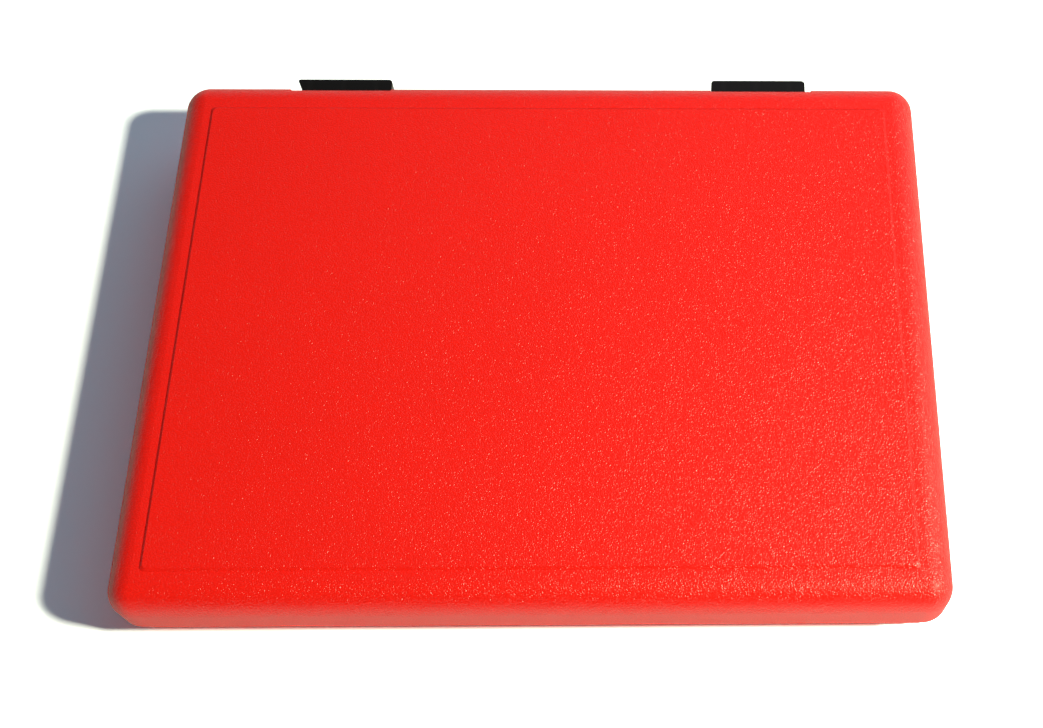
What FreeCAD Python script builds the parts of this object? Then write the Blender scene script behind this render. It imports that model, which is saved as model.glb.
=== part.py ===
import FreeCAD, Part

import math
import os

from FreeCAD import Vector

os.makedirs("parts", exist_ok=True)

# Peg-and-grid guessing game in a hinged plastic case, shown closed.
# X runs along the case, Y from the front to the hinges, Z up; the origin is the middle of the underside.

# Driving dimensions of the case, in millimetres
CASE_W = 330.0            # lid outline, left to right
CASE_D = 246.0            # lid outline, front to back
LID_DEPTH = 23.5          # lid, from its rim to the flat border on top
RIM_Z = 19.5              # height of the lid's rim above the table
WALL = 2.2                # moulded wall of both shells
ROUND_R = 11.0            # lid's upright corners, and the edge between its top and its skirt
PANEL_INSET_X = 14.0      # outline to the foot of the raised panel, at the left and right
PANEL_INSET_Y = 15.2      # the same at the front and back
PANEL_RISE = 0.8          # height of the raised panel
PANEL_SLOPE = 1.2         # width of the slope round the raised panel
PANEL_CORNER_R = 2.0
BASE_INSET = 3.0          # base outline inside the lid outline
INNER_CUT = 0.55          # flat cut inside a round edge, as a share of the inner radius
RIM_OVERLAP = 4.5         # how far the base stands up inside the lid's skirt
LIP_GAP = 0.3             # clearance above a notched rim

# Playing panels and the field of holes
FIELD_COUNT = 10          # holes along each side of the field
FIELD_PITCH = 18.0
PEG_HOLE_R = 1.7
PLATE = 2.0               # thickness of both playing panels
OCEAN_TOP_Z = 15.5
TARGET_GAP = 2.0          # target panel to the lid's walls
TARGET_FACE_Z = 25.2      # face that looks down when the lid is shut
TARGET_CORNER_R = 6.0
OCEAN_FIELD_Y = -5.0      # middle of each field, front to back
TARGET_FIELD_Y = 3.0
FRAME_RIB = 1.6           # raised line that frames a field
FRAME_RIB_H = 0.8
FRAME_MARGIN = 12.0       # outer holes to the frame

# Storage bays beside the ocean grid
BAY_INNER_X = 107.0
BAY_WALL = 1.6
BAY_CORNER_R = 3.2
BAY_GAP = 3.4             # bays to the base's wall
LIP = 2.4                 # flat lip round a bay, which covers most of that gap
LIP_T = 1.2
GRID_GAP = 1.0            # ocean grid to the base's wall
GRID_SLIT = 0.5           # ocean grid to the bays
RACK_DECK_Z = 9.6         # top of the deck that the ships stand on
DIVIDER_Y = 34.0          # wall between the white and the red pegs
SCOOP_R = 2.0             # round foot along the peg compartments

# Hinges
HINGE_X = 94.5            # middle of each hinge from the middle of the case
HINGE_W = 43.0
HINGE_OUT = 4.4           # outer face of the hinge behind the lid's back wall
POCKET_DEPTH = 4.5        # notch in the lid's back wall
POCKET_INNER_GAP = 0.4    # notch beyond the hinge, on the side of the middle
POCKET_OUTER_GAP = 2.6    # notch beyond the hinge, on the side of the corner
AXIS_OUT = 1.0            # hinge axis behind the lid's back wall
BARREL_R = 3.4
PIN_R = 1.25
PIN_CLEARANCE = 0.05
KNUCKLES = 3              # the lid's two, with the base's one between them
KNUCKLE_GAP = 0.4
LEAF_DROP = 6.0           # lid's top border to the top of the lid leaf
LID_LEAF_RISE = 3.8       # axis to the foot of the lid leaf
BASE_LEAF_DROP = 5.2      # axis to the top of the base leaf: the open lid stops on it
BASE_LEAF_FOOT_Z = 6.0
LEAF_SKIN = 2.2           # walls of the hollow hinge blocks
LEAF_RIB = 1.4
LEAF_RIB_X = (-15.0, 0.0, 15.0)
LEAF_CORNER_R = 1.6
LEAF_SLANT = 0.43         # the left block's outer end leans this much for each millimetre of depth

# The catch: two low bars on the base's front rim, which sit in grooves in the lid's skirt
CATCH_X = 60.0
CATCH_L = 30.0
CATCH_R = 1.2
CATCH_PLAY = 0.8          # groove wider than the bar
CATCH_STAND = 0.5         # how far a bar stands out of the rim

# Pegs, screws and ships
PEG_SHAFT_R = 1.5
PEG_SHAFT_L = 8.0
PEG_HEAD_R = 2.3
PEG_HEAD_L = 3.5
PEG_ROW = 9.0             # from one row of pegs to the next
PEG_COLUMN = 12.2
PEG_COLUMNS = 3
PEG_YAW = 8.0             # largest turn of a loose peg, in degrees
PEG_TURN_STEPS = (7.1, 3.3)   # how fast the turn changes along the rows and the columns, in radians
WHITE_ROWS = 8
WHITE_FIRST_Y = -96.0
RED_ROWS = 4
RED_FIRST_Y = 56.0
SCREW_R = 1.35
PILOT_R = 1.4
SCREW_HEAD_R = 2.3
BOSS_R = 2.7
SCREW_HEAD_H = 1.2
SEAT_PLAY = 0.1           # countersunk seat wider than the head
SCREW_L = 8.0
LEAF_SCREW_L = 6.0
POST_R = 3.6
SHIP_PIN_R = 1.5
SHIP_PIN_L = 5.0
FACETS = 6                # sides of pegs, peg holes, posts and screws, which repeat too often to be round

# Places that follow from the driving dimensions
HALF_W = CASE_W / 2
HALF_D = CASE_D / 2
BORDER_Z = RIM_Z + LID_DEPTH
BASE_HALF_W = HALF_W - BASE_INSET
BASE_HALF_D = HALF_D - BASE_INSET
BASE_ROUND_R = ROUND_R - BASE_INSET
BASE_TOP_Z = RIM_Z + RIM_OVERLAP
FLOOR_Z = PANEL_RISE + WALL
AXIS_Y = HALF_D + AXIS_OUT
HINGE_BACK_Y = HALF_D + HINGE_OUT
POCKET_Y = HALF_D - POCKET_DEPTH
LEAF_TOP_Z = BORDER_Z - LEAF_DROP
LID_LEAF_FOOT_Z = RIM_Z + LID_LEAF_RISE
BASE_LEAF_TOP_Z = RIM_Z - BASE_LEAF_DROP
BAY_OUTER_X = BASE_HALF_W - WALL - BAY_GAP
BAY_HALF_D = BASE_HALF_D - WALL - BAY_GAP
BAY_FLOOR_Z = FLOOR_Z + BAY_WALL
BAY_MID_X = (BAY_INNER_X + BAY_OUTER_X) / 2
TARGET_HALF_W = HALF_W - WALL - TARGET_GAP
TARGET_FRONT_Y = -(HALF_D - WALL - TARGET_GAP)
TARGET_BACK_Y = POCKET_Y - WALL - TARGET_GAP
FIELD_HALF = FIELD_PITCH * (FIELD_COUNT - 1) / 2
OCEAN_POSTS = [(x, y) for x in (-98.0, 0.0, 98.0) for y in (-109.0, 109.0)]
TARGET_POSTS = [(x, y) for x in (-150.0, 0.0, 150.0) for y in (-109.0, 104.0)]
LEAF_SCREW_X = 7.5
HOLE_FIT = 1 / math.cos(math.pi / FACETS)   # a faceted hole's corners, for a round bar to pass its flats
LID_LEAF_SCREW_Z = (LID_LEAF_FOOT_Z + LEAF_TOP_Z) / 2
BASE_LEAF_SCREW_Z = (PANEL_RISE + BASE_ROUND_R + OCEAN_TOP_Z - PLATE) / 2


def box(x0, x1, y0, y1, z0, z1):
    """Block between two corners."""
    return Part.makeBox(x1 - x0, y1 - y0, z1 - z0, Vector(x0, y0, z0))


def rod(radius, start, direction, length):
    """Round bar from a point along a direction."""
    return Part.makeCylinder(radius, length, start, direction)


def facet_ring(radius, centre, direction):
    """Closed outline with a few straight sides, square to a direction."""
    across = Vector(0, 1, 0) if abs(direction.x) > 0.5 else Vector(1, 0, 0)
    beside = direction.cross(across)
    turns = [2 * math.pi * i / FACETS for i in range(FACETS)]
    points = [centre + across * (radius * math.cos(t)) + beside * (radius * math.sin(t)) for t in turns]
    return Part.makePolygon(points + points[:1])


def faceted(radius, start, direction, length):
    """Bar with a few flat sides, from a point along a direction."""
    return Part.Face(facet_ring(radius, start, direction)).extrude(direction * length)


def tapered(radius, end_radius, start, direction, length):
    """Faceted bar that narrows or widens along its length."""
    foot = facet_ring(radius, start, direction)
    end = facet_ring(end_radius, start + direction * length, direction)
    return Part.makeLoft([foot, end], True, True)


def rounded_wire(x0, x1, y0, y1, r, z):
    """Rectangle with round corners, as one closed outline."""
    centres = [(x1 - r, y1 - r), (x0 + r, y1 - r), (x0 + r, y0 + r), (x1 - r, y0 + r)]
    arcs = []
    for quarter, (cx, cy) in enumerate(centres):
        turns = [math.pi / 2 * quarter + math.pi / 4 * step for step in range(3)]
        points = [Vector(cx + r * math.cos(t), cy + r * math.sin(t), z) for t in turns]
        arcs.append(points)
    edges = []
    for quarter, points in enumerate(arcs):
        edges.append(Part.Arc(*points).toShape())
        edges.append(Part.LineSegment(points[2], arcs[(quarter + 1) % 4][0]).toShape())
    return Part.Wire(edges)


def slab(x0, x1, y0, y1, r, z0, z1):
    """Upright block with round corners."""
    return Part.Face(rounded_wire(x0, x1, y0, y1, r, z0)).extrude(Vector(0, 0, z1 - z0))


def edges_at(shape, z):
    """Edges that lie flat at one height."""
    return [e for e in shape.Edges if all(abs(v.Z - z) < 1e-6 for v in e.Vertexes)]


def round_block(half_w, half_d, z0, z1, round_z, r):
    """Upright block whose corners are round, and its edges at one height alike."""
    block = box(-half_w, half_w, -half_d, half_d, z0, z1)
    uprights = [e for e in block.Edges if abs(e.Vertexes[0].Z - e.Vertexes[1].Z) > 1e-6]
    return block.makeFillet(r, uprights + edges_at(block, round_z))


def raised_panel(half_w, half_d, foot_z, rise):
    """Low panel with sloping sides, standing on a flat face; a negative rise hangs it below."""
    foot = rounded_wire(-half_w, half_w, -half_d, half_d, PANEL_CORNER_R, foot_z)
    top_w = half_w - PANEL_SLOPE
    top_d = half_d - PANEL_SLOPE
    top = rounded_wire(-top_w, top_w, -top_d, top_d, PANEL_CORNER_R, foot_z + rise)
    return Part.makeLoft([foot, top], True, True)


def hinge_span(side):
    """Left and right ends of one hinge; side is -1 at the left and 1 at the right."""
    middle = side * HINGE_X
    return middle - HINGE_W / 2, middle + HINGE_W / 2


def pocket_span(side, grow=0.0):
    """Left and right ends of the notch round one hinge."""
    inner = HINGE_X - HINGE_W / 2 - POCKET_INNER_GAP - grow
    outer = HINGE_X + HINGE_W / 2 + POCKET_OUTER_GAP + grow
    return sorted((side * inner, side * outer))


def post(x, y, z0, z1):
    """Upright post with a pilot hole through it for a screw."""
    foot = Vector(x, y, z0)
    up = Vector(0, 0, 1)
    return faceted(POST_R, foot, up, z1 - z0).cut(faceted(PILOT_R * HOLE_FIT, foot, up, z1 - z0))


def leaf_screw_points(z, y, sides=(-1, 1)):
    """Points where the hinge screws cross a wall."""
    offsets = [side * HINGE_X + step for side in sides for step in (-LEAF_SCREW_X, LEAF_SCREW_X)]
    return [Vector(x, y, z) for x in offsets]


def lid_shell():
    """Lid: round-edged shell with a raised panel, hinge notches, posts and a groove for the catch."""
    body = round_block(HALF_W, HALF_D, RIM_Z, BORDER_Z, BORDER_Z, ROUND_R)
    body = body.fuse(raised_panel(HALF_W - PANEL_INSET_X, HALF_D - PANEL_INSET_Y, BORDER_Z, PANEL_RISE))
    hollow_w = HALF_W - WALL
    hollow_d = HALF_D - WALL
    hollow_top = BORDER_Z - WALL
    hollow = slab(-hollow_w, hollow_w, -hollow_d, hollow_d, ROUND_R - WALL, RIM_Z - 1, hollow_top)
    hollow = hollow.makeChamfer(INNER_CUT * (ROUND_R - WALL), edges_at(hollow, hollow_top))
    for side in (-1, 1):
        x0, x1 = pocket_span(side)
        body = body.cut(box(x0, x1, POCKET_Y, HALF_D + 1, RIM_Z - 1, BORDER_Z + PANEL_RISE))
        x0, x1 = pocket_span(side, WALL)
        hollow = hollow.cut(box(x0, x1, POCKET_Y - WALL, HALF_D, RIM_Z - 2, BORDER_Z))
    shell = body.cut(hollow)
    for x, y in TARGET_POSTS:
        shell = shell.fuse(post(x, y, TARGET_FACE_Z + PLATE, hollow_top + WALL / 2))
    back = Vector(0, 1, 0)
    for point in leaf_screw_points(LID_LEAF_SCREW_Z, POCKET_Y - WALL - 1):
        shell = shell.cut(faceted(PILOT_R * HOLE_FIT, point, back, WALL + 2))
    for side in (-1, 1):
        shell = shell.cut(catch_bar(side, CATCH_R + CATCH_PLAY))
    return shell.removeSplitter()


def catch_bar(side, radius):
    """One bar of the catch, as thick as asked."""
    y = -BASE_HALF_D + CATCH_R - CATCH_STAND
    start = Vector(side * CATCH_X - CATCH_L / 2, y, RIM_Z + RIM_OVERLAP / 2)
    return faceted(radius, start, Vector(1, 0, 0), CATCH_L)


def base_shell():
    """Base: round-edged tray with a foot panel, a rim inside the lid, posts and the catch's bars."""
    body = round_block(BASE_HALF_W, BASE_HALF_D, PANEL_RISE, BASE_TOP_Z, PANEL_RISE, BASE_ROUND_R)
    body = body.fuse(raised_panel(HALF_W - PANEL_INSET_X, HALF_D - PANEL_INSET_Y, PANEL_RISE, -PANEL_RISE))
    hollow_w = BASE_HALF_W - WALL
    hollow_d = BASE_HALF_D - WALL
    hollow = slab(-hollow_w, hollow_w, -hollow_d, hollow_d, BASE_ROUND_R - WALL, FLOOR_Z, BASE_TOP_Z + 1)
    hollow = hollow.makeChamfer(INNER_CUT * (BASE_ROUND_R - WALL), edges_at(hollow, FLOOR_Z))
    shell = body.cut(hollow)
    for side in (-1, 1):
        x0, x1 = pocket_span(side, WALL + BASE_INSET)
        shell = shell.cut(box(x0, x1, hollow_d - 1, BASE_HALF_D + 1, RIM_Z - LIP_GAP, BASE_TOP_Z + 1))
        shell = shell.fuse(catch_bar(side, CATCH_R).cut(hollow))
    for x, y in OCEAN_POSTS:
        shell = shell.fuse(post(x, y, FLOOR_Z, OCEAN_TOP_Z - PLATE))
    for point in leaf_screw_points(BASE_LEAF_SCREW_Z, hollow_d - 1):
        shell = shell.cut(faceted(PILOT_R * HOLE_FIT, point, Vector(0, 1, 0), WALL + 2))
    return shell.removeSplitter()


def field_points(field_y):
    """Middles of the holes of one field."""
    steps = [FIELD_PITCH * i - FIELD_HALF for i in range(FIELD_COUNT)]
    return [(x, field_y + y) for x in steps for y in steps]


def playing_panel(outline, field_y, screws, z0, face_z, inward):
    """Flat panel with the field of peg holes, and countersunk screw holes in one face."""
    up = Vector(0, 0, 1)
    places = [(x, y, PEG_HOLE_R) for x, y in field_points(field_y)]
    places += [(x, y, PILOT_R) for x, y in screws]
    holes = [facet_ring(r * HOLE_FIT, Vector(x, y, z0), up) for x, y, r in places]
    panel = Part.makeFace([outline] + holes, "Part::FaceMakerBullseye").extrude(up * PLATE)
    for x, y in screws:
        mouth = Vector(x, y, face_z)
        panel = panel.cut(tapered(SCREW_HEAD_R + SEAT_PLAY, SCREW_R + SEAT_PLAY, mouth, inward, SCREW_HEAD_H))
    return panel


def field_frame(field_y, z0):
    """Raised line that frames a field."""
    reach = FIELD_HALF + FRAME_MARGIN
    outer = box(-reach, reach, field_y - reach, field_y + reach, z0, z0 + FRAME_RIB_H)
    reach = reach - FRAME_RIB
    return outer.cut(box(-reach, reach, field_y - reach, field_y + reach, z0, z0 + FRAME_RIB_H))


def target_panel():
    """Panel in the lid, with its frame on the face that the player sees."""
    outline = rounded_wire(-TARGET_HALF_W, TARGET_HALF_W, TARGET_FRONT_Y, TARGET_BACK_Y, TARGET_CORNER_R,
                           TARGET_FACE_Z)
    up = Vector(0, 0, 1)
    panel = playing_panel(outline, TARGET_FIELD_Y, TARGET_POSTS, TARGET_FACE_Z, TARGET_FACE_Z, up)
    return panel.fuse(field_frame(TARGET_FIELD_Y, TARGET_FACE_Z - FRAME_RIB_H)).removeSplitter()


def ocean_grid():
    """Panel in the base that the ships stand on in play."""
    reach = BAY_INNER_X - GRID_SLIT
    half_d = BASE_HALF_D - WALL - GRID_GAP
    z0 = OCEAN_TOP_Z - PLATE
    outline = rounded_wire(-reach, reach, -half_d, half_d, PANEL_CORNER_R, z0)
    panel = playing_panel(outline, OCEAN_FIELD_Y, OCEAN_POSTS, z0, OCEAN_TOP_Z, Vector(0, 0, -1))
    return panel.fuse(field_frame(OCEAN_FIELD_Y, OCEAN_TOP_Z)).removeSplitter()


def bay_block(side, inset, z0, z1):
    """Upright block with a bay's outline, drawn in by a wall."""
    x0, x1 = sorted((side * (BAY_INNER_X + inset), side * (BAY_OUTER_X - inset)))
    reach = BAY_HALF_D - inset
    return slab(x0, x1, -reach, reach, BAY_CORNER_R - inset, z0, z1)


def bay_body(side):
    """Outside of a bay: a block on the base's floor, with a lip towards the base's walls."""
    x0, x1 = sorted((side * BAY_INNER_X, side * (BAY_OUTER_X + LIP)))
    reach = BAY_HALF_D + LIP
    lip = slab(x0, x1, -reach, reach, BAY_CORNER_R, OCEAN_TOP_Z - LIP_T, OCEAN_TOP_Z)
    return bay_block(side, 0, FLOOR_Z, OCEAN_TOP_Z).fuse(lip)


def ship_rack():
    """Bay at the left: a deck with a hole for each ship's pins, hollow underneath."""
    rack = bay_body(-1).cut(bay_block(-1, BAY_WALL, RACK_DECK_Z, OCEAN_TOP_Z + 1))
    rack = rack.cut(bay_block(-1, BAY_WALL, FLOOR_Z - 1, RACK_DECK_Z - BAY_WALL))
    for one in FLEET:
        for x, y in ship_pin_points(one):
            foot = Vector(x, y, FLOOR_Z)
            rack = rack.cut(faceted(PEG_HOLE_R * HOLE_FIT, foot, Vector(0, 0, 1), RACK_DECK_Z))
    return rack.removeSplitter()


def trough(y0, y1):
    """Long hollow with a round foot at both sides, as wide as a peg compartment."""
    x0 = BAY_INNER_X + BAY_WALL
    x1 = BAY_OUTER_X - BAY_WALL
    block = box(x0, x1, y0, y1, BAY_FLOOR_Z, OCEAN_TOP_Z + 1)
    feet = [e for e in edges_at(block, BAY_FLOOR_Z) if abs(e.Vertexes[0].Y - e.Vertexes[1].Y) > 1e-6]
    return block.makeFillet(SCOOP_R, feet)


def peg_tray():
    """Bay at the right: two troughs, from which the pegs can be scooped."""
    well = bay_block(1, BAY_WALL, BAY_FLOOR_Z, OCEAN_TOP_Z + 1)
    low = trough(-BAY_HALF_D, DIVIDER_Y - BAY_WALL / 2)
    high = trough(DIVIDER_Y + BAY_WALL / 2, BAY_HALF_D)
    return bay_body(1).cut(well.common(low)).cut(well.common(high)).removeSplitter()


def knuckles(side, first):
    """Every other knuckle of a hinge, as pairs of ends along X."""
    x0, x1 = hinge_span(side)
    pitch = (x1 - x0) / KNUCKLES
    half = KNUCKLE_GAP / 2
    return [(x0 + pitch * i + half, x0 + pitch * (i + 1) - half) for i in range(first, KNUCKLES, 2)]


def hinge_block(side, y0, z0, z1, screw_z, end_wall):
    """Hollow moulded block, open towards the case, with ribs and two screw bosses."""
    x0, x1 = hinge_span(side)
    block = box(x0, x1, y0, HINGE_BACK_Y, z0, z1)
    behind = [e for e in block.Edges if all(abs(v.Y - HINGE_BACK_Y) < 1e-6 for v in e.Vertexes)]
    uprights = [e for e in behind if abs(e.Vertexes[0].Z - e.Vertexes[1].Z) > 1e-6]
    block = block.makeFillet(LEAF_CORNER_R, uprights)
    half_rib = LEAF_RIB / 2
    ribs = [side * HINGE_X + x for x in LEAF_RIB_X]
    walls = [x0 + end_wall - half_rib] + ribs + [x1 - LEAF_SKIN + half_rib]
    for left, right in zip(walls, walls[1:]):
        if right - left > 2 * LEAF_SKIN:
            block = block.cut(box(left + half_rib, right - half_rib, y0, HINGE_BACK_Y - LEAF_SKIN,
                                  z0 + LEAF_SKIN, z1 - LEAF_SKIN))
    for point in leaf_screw_points(screw_z, y0, (side,)):
        block = block.fuse(faceted(BOSS_R, point, Vector(0, 1, 0), HINGE_BACK_Y - LEAF_SKIN / 2 - y0))
    return block


def hinge_leaf(side, first, block, web, screws):
    """One half of a hinge: its block, its knuckles, the webs that carry them and its pilot holes."""
    along = Vector(1, 0, 0)
    y0, y1, z0, z1 = web
    leaf = block
    for left, right in knuckles(side, first):
        leaf = leaf.fuse(rod(BARREL_R, Vector(left, AXIS_Y, RIM_Z), along, right - left))
        leaf = leaf.fuse(box(left, right, y0, y1, z0, z1))
    for point in screws:
        depth = HINGE_BACK_Y - LEAF_SKIN - point.y
        leaf = leaf.cut(faceted(PILOT_R * HOLE_FIT, point, Vector(0, 1, 0), depth))
    start = Vector(hinge_span(side)[0] - 1, AXIS_Y, RIM_Z)
    return leaf.cut(rod(PIN_R + PIN_CLEARANCE, start, along, HINGE_W + 2)).removeSplitter()


def hinge_lid_leaf(side):
    """Block in the lid's notch; its knuckles reach down to the axis."""
    slant = LEAF_SLANT * (HINGE_BACK_Y - POCKET_Y) if side < 0 else 0.0
    block = hinge_block(side, POCKET_Y, LID_LEAF_FOOT_Z, LEAF_TOP_Z, LID_LEAF_SCREW_Z, LEAF_SKIN + slant)
    web = (AXIS_Y, AXIS_Y + BARREL_R, RIM_Z, LID_LEAF_FOOT_Z + LEAF_SKIN)
    leaf = hinge_leaf(side, 0, block, web, leaf_screw_points(LID_LEAF_SCREW_Z, POCKET_Y, (side,)))
    return leaf.cut(slant_wedge(side, slant)) if slant else leaf


def slant_wedge(side, slant):
    """What the slanted end of the left block leaves out, above its barrel."""
    x0 = hinge_span(side)[0]
    z0 = RIM_Z + BARREL_R
    corner = [Vector(x0, HINGE_BACK_Y, z0), Vector(x0 + slant, POCKET_Y, z0), Vector(x0, POCKET_Y, z0)]
    return Part.Face(Part.makePolygon(corner + corner[:1])).extrude(Vector(0, 0, LEAF_TOP_Z - z0))


def hinge_base_leaf(side):
    """Block on the base's back wall; its knuckles reach up to the axis."""
    block = hinge_block(side, BASE_HALF_D, BASE_LEAF_FOOT_Z, BASE_LEAF_TOP_Z, BASE_LEAF_SCREW_Z, LEAF_SKIN)
    web = (AXIS_Y - BARREL_R, AXIS_Y, BASE_LEAF_TOP_Z - LEAF_SKIN, RIM_Z)
    return hinge_leaf(side, 1, block, web, leaf_screw_points(BASE_LEAF_SCREW_Z, BASE_HALF_D, (side,)))


def hinge_pin(side):
    """Pin through all the knuckles of one hinge."""
    x0, x1 = hinge_span(side)
    return rod(PIN_R, Vector(x0, AXIS_Y, RIM_Z), Vector(1, 0, 0), x1 - x0)


def pan_screw(point, direction, length):
    """Screw whose head stands on the face that the point lies on."""
    shank = faceted(SCREW_R, point, direction, length)
    head = faceted(SCREW_HEAD_R, point - direction * SCREW_HEAD_H, direction, SCREW_HEAD_H)
    return head.fuse(shank).removeSplitter()


def flush_screw(point, direction, length):
    """Countersunk screw whose head ends level with the face that the point lies on."""
    shank = faceted(SCREW_R, point, direction, length)
    return tapered(SCREW_HEAD_R, SCREW_R, point, direction, SCREW_HEAD_H).fuse(shank).removeSplitter()


def lid_screws():
    """Screws of the target panel and of both lid leaves."""
    screws = [flush_screw(Vector(x, y, TARGET_FACE_Z), Vector(0, 0, 1), SCREW_L) for x, y in TARGET_POSTS]
    points = leaf_screw_points(LID_LEAF_SCREW_Z, POCKET_Y - WALL)
    return Part.makeCompound(screws + [pan_screw(p, Vector(0, 1, 0), LEAF_SCREW_L) for p in points])


def base_screws():
    """Screws of the ocean grid and of both base leaves."""
    screws = [flush_screw(Vector(x, y, OCEAN_TOP_Z), Vector(0, 0, -1), SCREW_L) for x, y in OCEAN_POSTS]
    points = leaf_screw_points(BASE_LEAF_SCREW_Z, BASE_HALF_D - WALL)
    return Part.makeCompound(screws + [pan_screw(p, Vector(0, 1, 0), LEAF_SCREW_L) for p in points])


def peg():
    """Marker peg lying along X, with its middle at the origin."""
    along = Vector(1, 0, 0)
    start = -(PEG_SHAFT_L + PEG_HEAD_L) / 2
    shaft = faceted(PEG_SHAFT_R, Vector(start, 0, 0), along, PEG_SHAFT_L)
    return shaft.fuse(faceted(PEG_HEAD_R, Vector(start + PEG_SHAFT_L, 0, 0), along, PEG_HEAD_L))


def peg_group(rows, first_y):
    """Loose pegs lying in rows on the tray's floor, each turned a little and every other one end for end."""
    z = BAY_FLOOR_Z + PEG_HEAD_R / HOLE_FIT
    row_step, column_step = PEG_TURN_STEPS
    pegs = []
    for row in range(rows):
        for column in range(PEG_COLUMNS):
            yaw = PEG_YAW * math.sin(row_step * row + column_step * column) + 180 * ((row + column) % 2)
            x = BAY_MID_X + PEG_COLUMN * (column - (PEG_COLUMNS - 1) / 2)
            one = peg()
            one.Placement = FreeCAD.Placement(Vector(x, first_y + PEG_ROW * row, z),
                                              FreeCAD.Rotation(Vector(0, 0, 1), yaw))
            pegs.append(one)
    return Part.makeCompound(pegs)


# Ships lie along Y with their bows to the back; x and y are their middles in the rack
SHIP_CLEAR = 1.0          # hull end to the end of its cells
HULL_H = 5.5
HOLE_FLOOR = 1.5          # foot of a ship to the bottom of its peg holes
HOUSE_DRAW = 0.3          # how much a deck house draws in towards its top, on each side
STERN_ROUND = 0.6         # depth of the round stern, as a share of half the beam
BOW_SHARE = 0.3           # longest bow, as a share of the hull
BOW_BEAMS = 1.4           # longest bow, in beams
BOW_BULGE = (0.72, 0.52)  # middle of the bow's curve, as shares of half the beam and of the bow
FLEET = {
    "carrier": {"cells": 5, "beam": 15.0, "x": -145.0, "y": -58.0},
    "battleship": {"cells": 4, "beam": 13.0, "x": -145.0, "y": 42.0},
    "cruiser": {"cells": 3, "beam": 12.0, "x": -121.0, "y": -76.0},
    "submarine": {"cells": 3, "beam": 10.0, "x": -121.0, "y": -12.0},
    "destroyer": {"cells": 2, "beam": 11.0, "x": -121.0, "y": 42.0},
}
# Hull sections: height as a share of the hull's, and how far the outline draws in there
FLARED = ((0.0, 1.6), (1.0, 0.0))
ROUNDED = ((0.0, 1.2), (0.5, 0.0), (1.0, 1.8))
# Deck houses: width, length, middle along X and Y, height above the deck
HOUSES = {
    "carrier": [(3.2, 15.0, 6.0, 9.0, 3.6), (2.4, 6.0, 6.0, 9.0, 4.8)],
    "battleship": [(8.0, 7.0, 0.0, 0.0, 2.6), (5.0, 4.0, 0.0, 1.0, 5.0)],
    "cruiser": [(7.0, 7.0, 0.0, 9.0, 3.2), (4.0, 3.4, 0.0, 9.6, 4.8)],
    "submarine": [(3.6, 8.0, 0.0, 9.0, 4.4)],
    "destroyer": [(6.4, 7.0, 0.0, 0.0, 2.6), (4.0, 3.4, 0.0, 0.8, 4.4)],
}
FLIGHT_DECK = (17.0, 76.0, -3.0, 1.2, 3.0)    # width, length, middle along Y, thickness, cut corners
TURRET = (2.8, 2.2, 2.2)                      # foot and top radius, height
TURRET_Y = 18.0
GUN = (0.5, 6.0, 0.9, 1.3)                    # radius, length, place beside the middle and above the deck
FUNNEL = (2.2, 1.7, 4.0, -9.0)                # foot and top radius, height, middle along Y


def ship_length(name):
    """Length of a hull, a little less than its cells."""
    return FLEET[name]["cells"] * FIELD_PITCH - 2 * SHIP_CLEAR


def ship_pin_points(name):
    """Middles of the two pins under a ship."""
    one = FLEET[name]
    reach = FIELD_PITCH * (1.0 if one["cells"] % 2 else 0.5)
    return [(one["x"], one["y"] - reach), (one["x"], one["y"] + reach)]


def hull_wire(length, beam, bow, z):
    """Ship's outline: straight sides, a pointed bow and a round stern."""
    half = length / 2
    side = beam / 2
    stern = side * STERN_ROUND
    shoulder = half - bow
    bulge = Vector(side * BOW_BULGE[0], shoulder + bow * BOW_BULGE[1], z)
    right = Vector(side, shoulder, z)
    left = Vector(-side, shoulder, z)
    tip = Vector(0, half, z)
    low_left = Vector(-side, -half + stern, z)
    low_right = Vector(side, -half + stern, z)
    return Part.Wire([
        Part.LineSegment(low_right, right).toShape(),
        Part.Arc(right, bulge, tip).toShape(),
        Part.Arc(tip, Vector(-bulge.x, bulge.y, z), left).toShape(),
        Part.LineSegment(left, low_left).toShape(),
        Part.Arc(low_left, Vector(0, -half, z), low_right).toShape(),
    ])


def hull(name):
    """Hull through its sections, from the foot to the deck."""
    beam = FLEET[name]["beam"]
    length = ship_length(name)
    bow = min(length * BOW_SHARE, beam * BOW_BEAMS)
    sections = ROUNDED if name == "submarine" else FLARED
    wires = [hull_wire(length - 2 * draw, beam - 2 * draw, bow, HULL_H * share) for share, draw in sections]
    return Part.makeLoft(wires, True, True)


def deck_house(width, length, x, y, height):
    """House on the deck, drawn in a little towards its top."""
    rings = []
    for z, draw in ((HULL_H - HOLE_FLOOR, 0.0), (HULL_H + height, HOUSE_DRAW)):
        w = width / 2 - draw
        d = length / 2 - draw
        corners = [Vector(x + i * w, y + j * d, z) for i, j in ((-1, -1), (1, -1), (1, 1), (-1, 1))]
        rings.append(Part.makePolygon(corners + corners[:1]))
    return Part.makeLoft(rings, True, True)


def flight_deck():
    """Carrier's flat deck, with its corners cut."""
    width, length, y, thickness, cut = FLIGHT_DECK
    w = width / 2
    d = length / 2
    corner = [(w, d - cut), (w - cut, d)]
    points = []
    for i, j, step in ((1, 1, 1), (-1, 1, -1), (-1, -1, 1), (1, -1, -1)):
        points += [Vector(i * px, y + j * py, HULL_H) for px, py in corner[::step]]
    return Part.Face(Part.makePolygon(points + points[:1])).extrude(Vector(0, 0, thickness))


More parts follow.
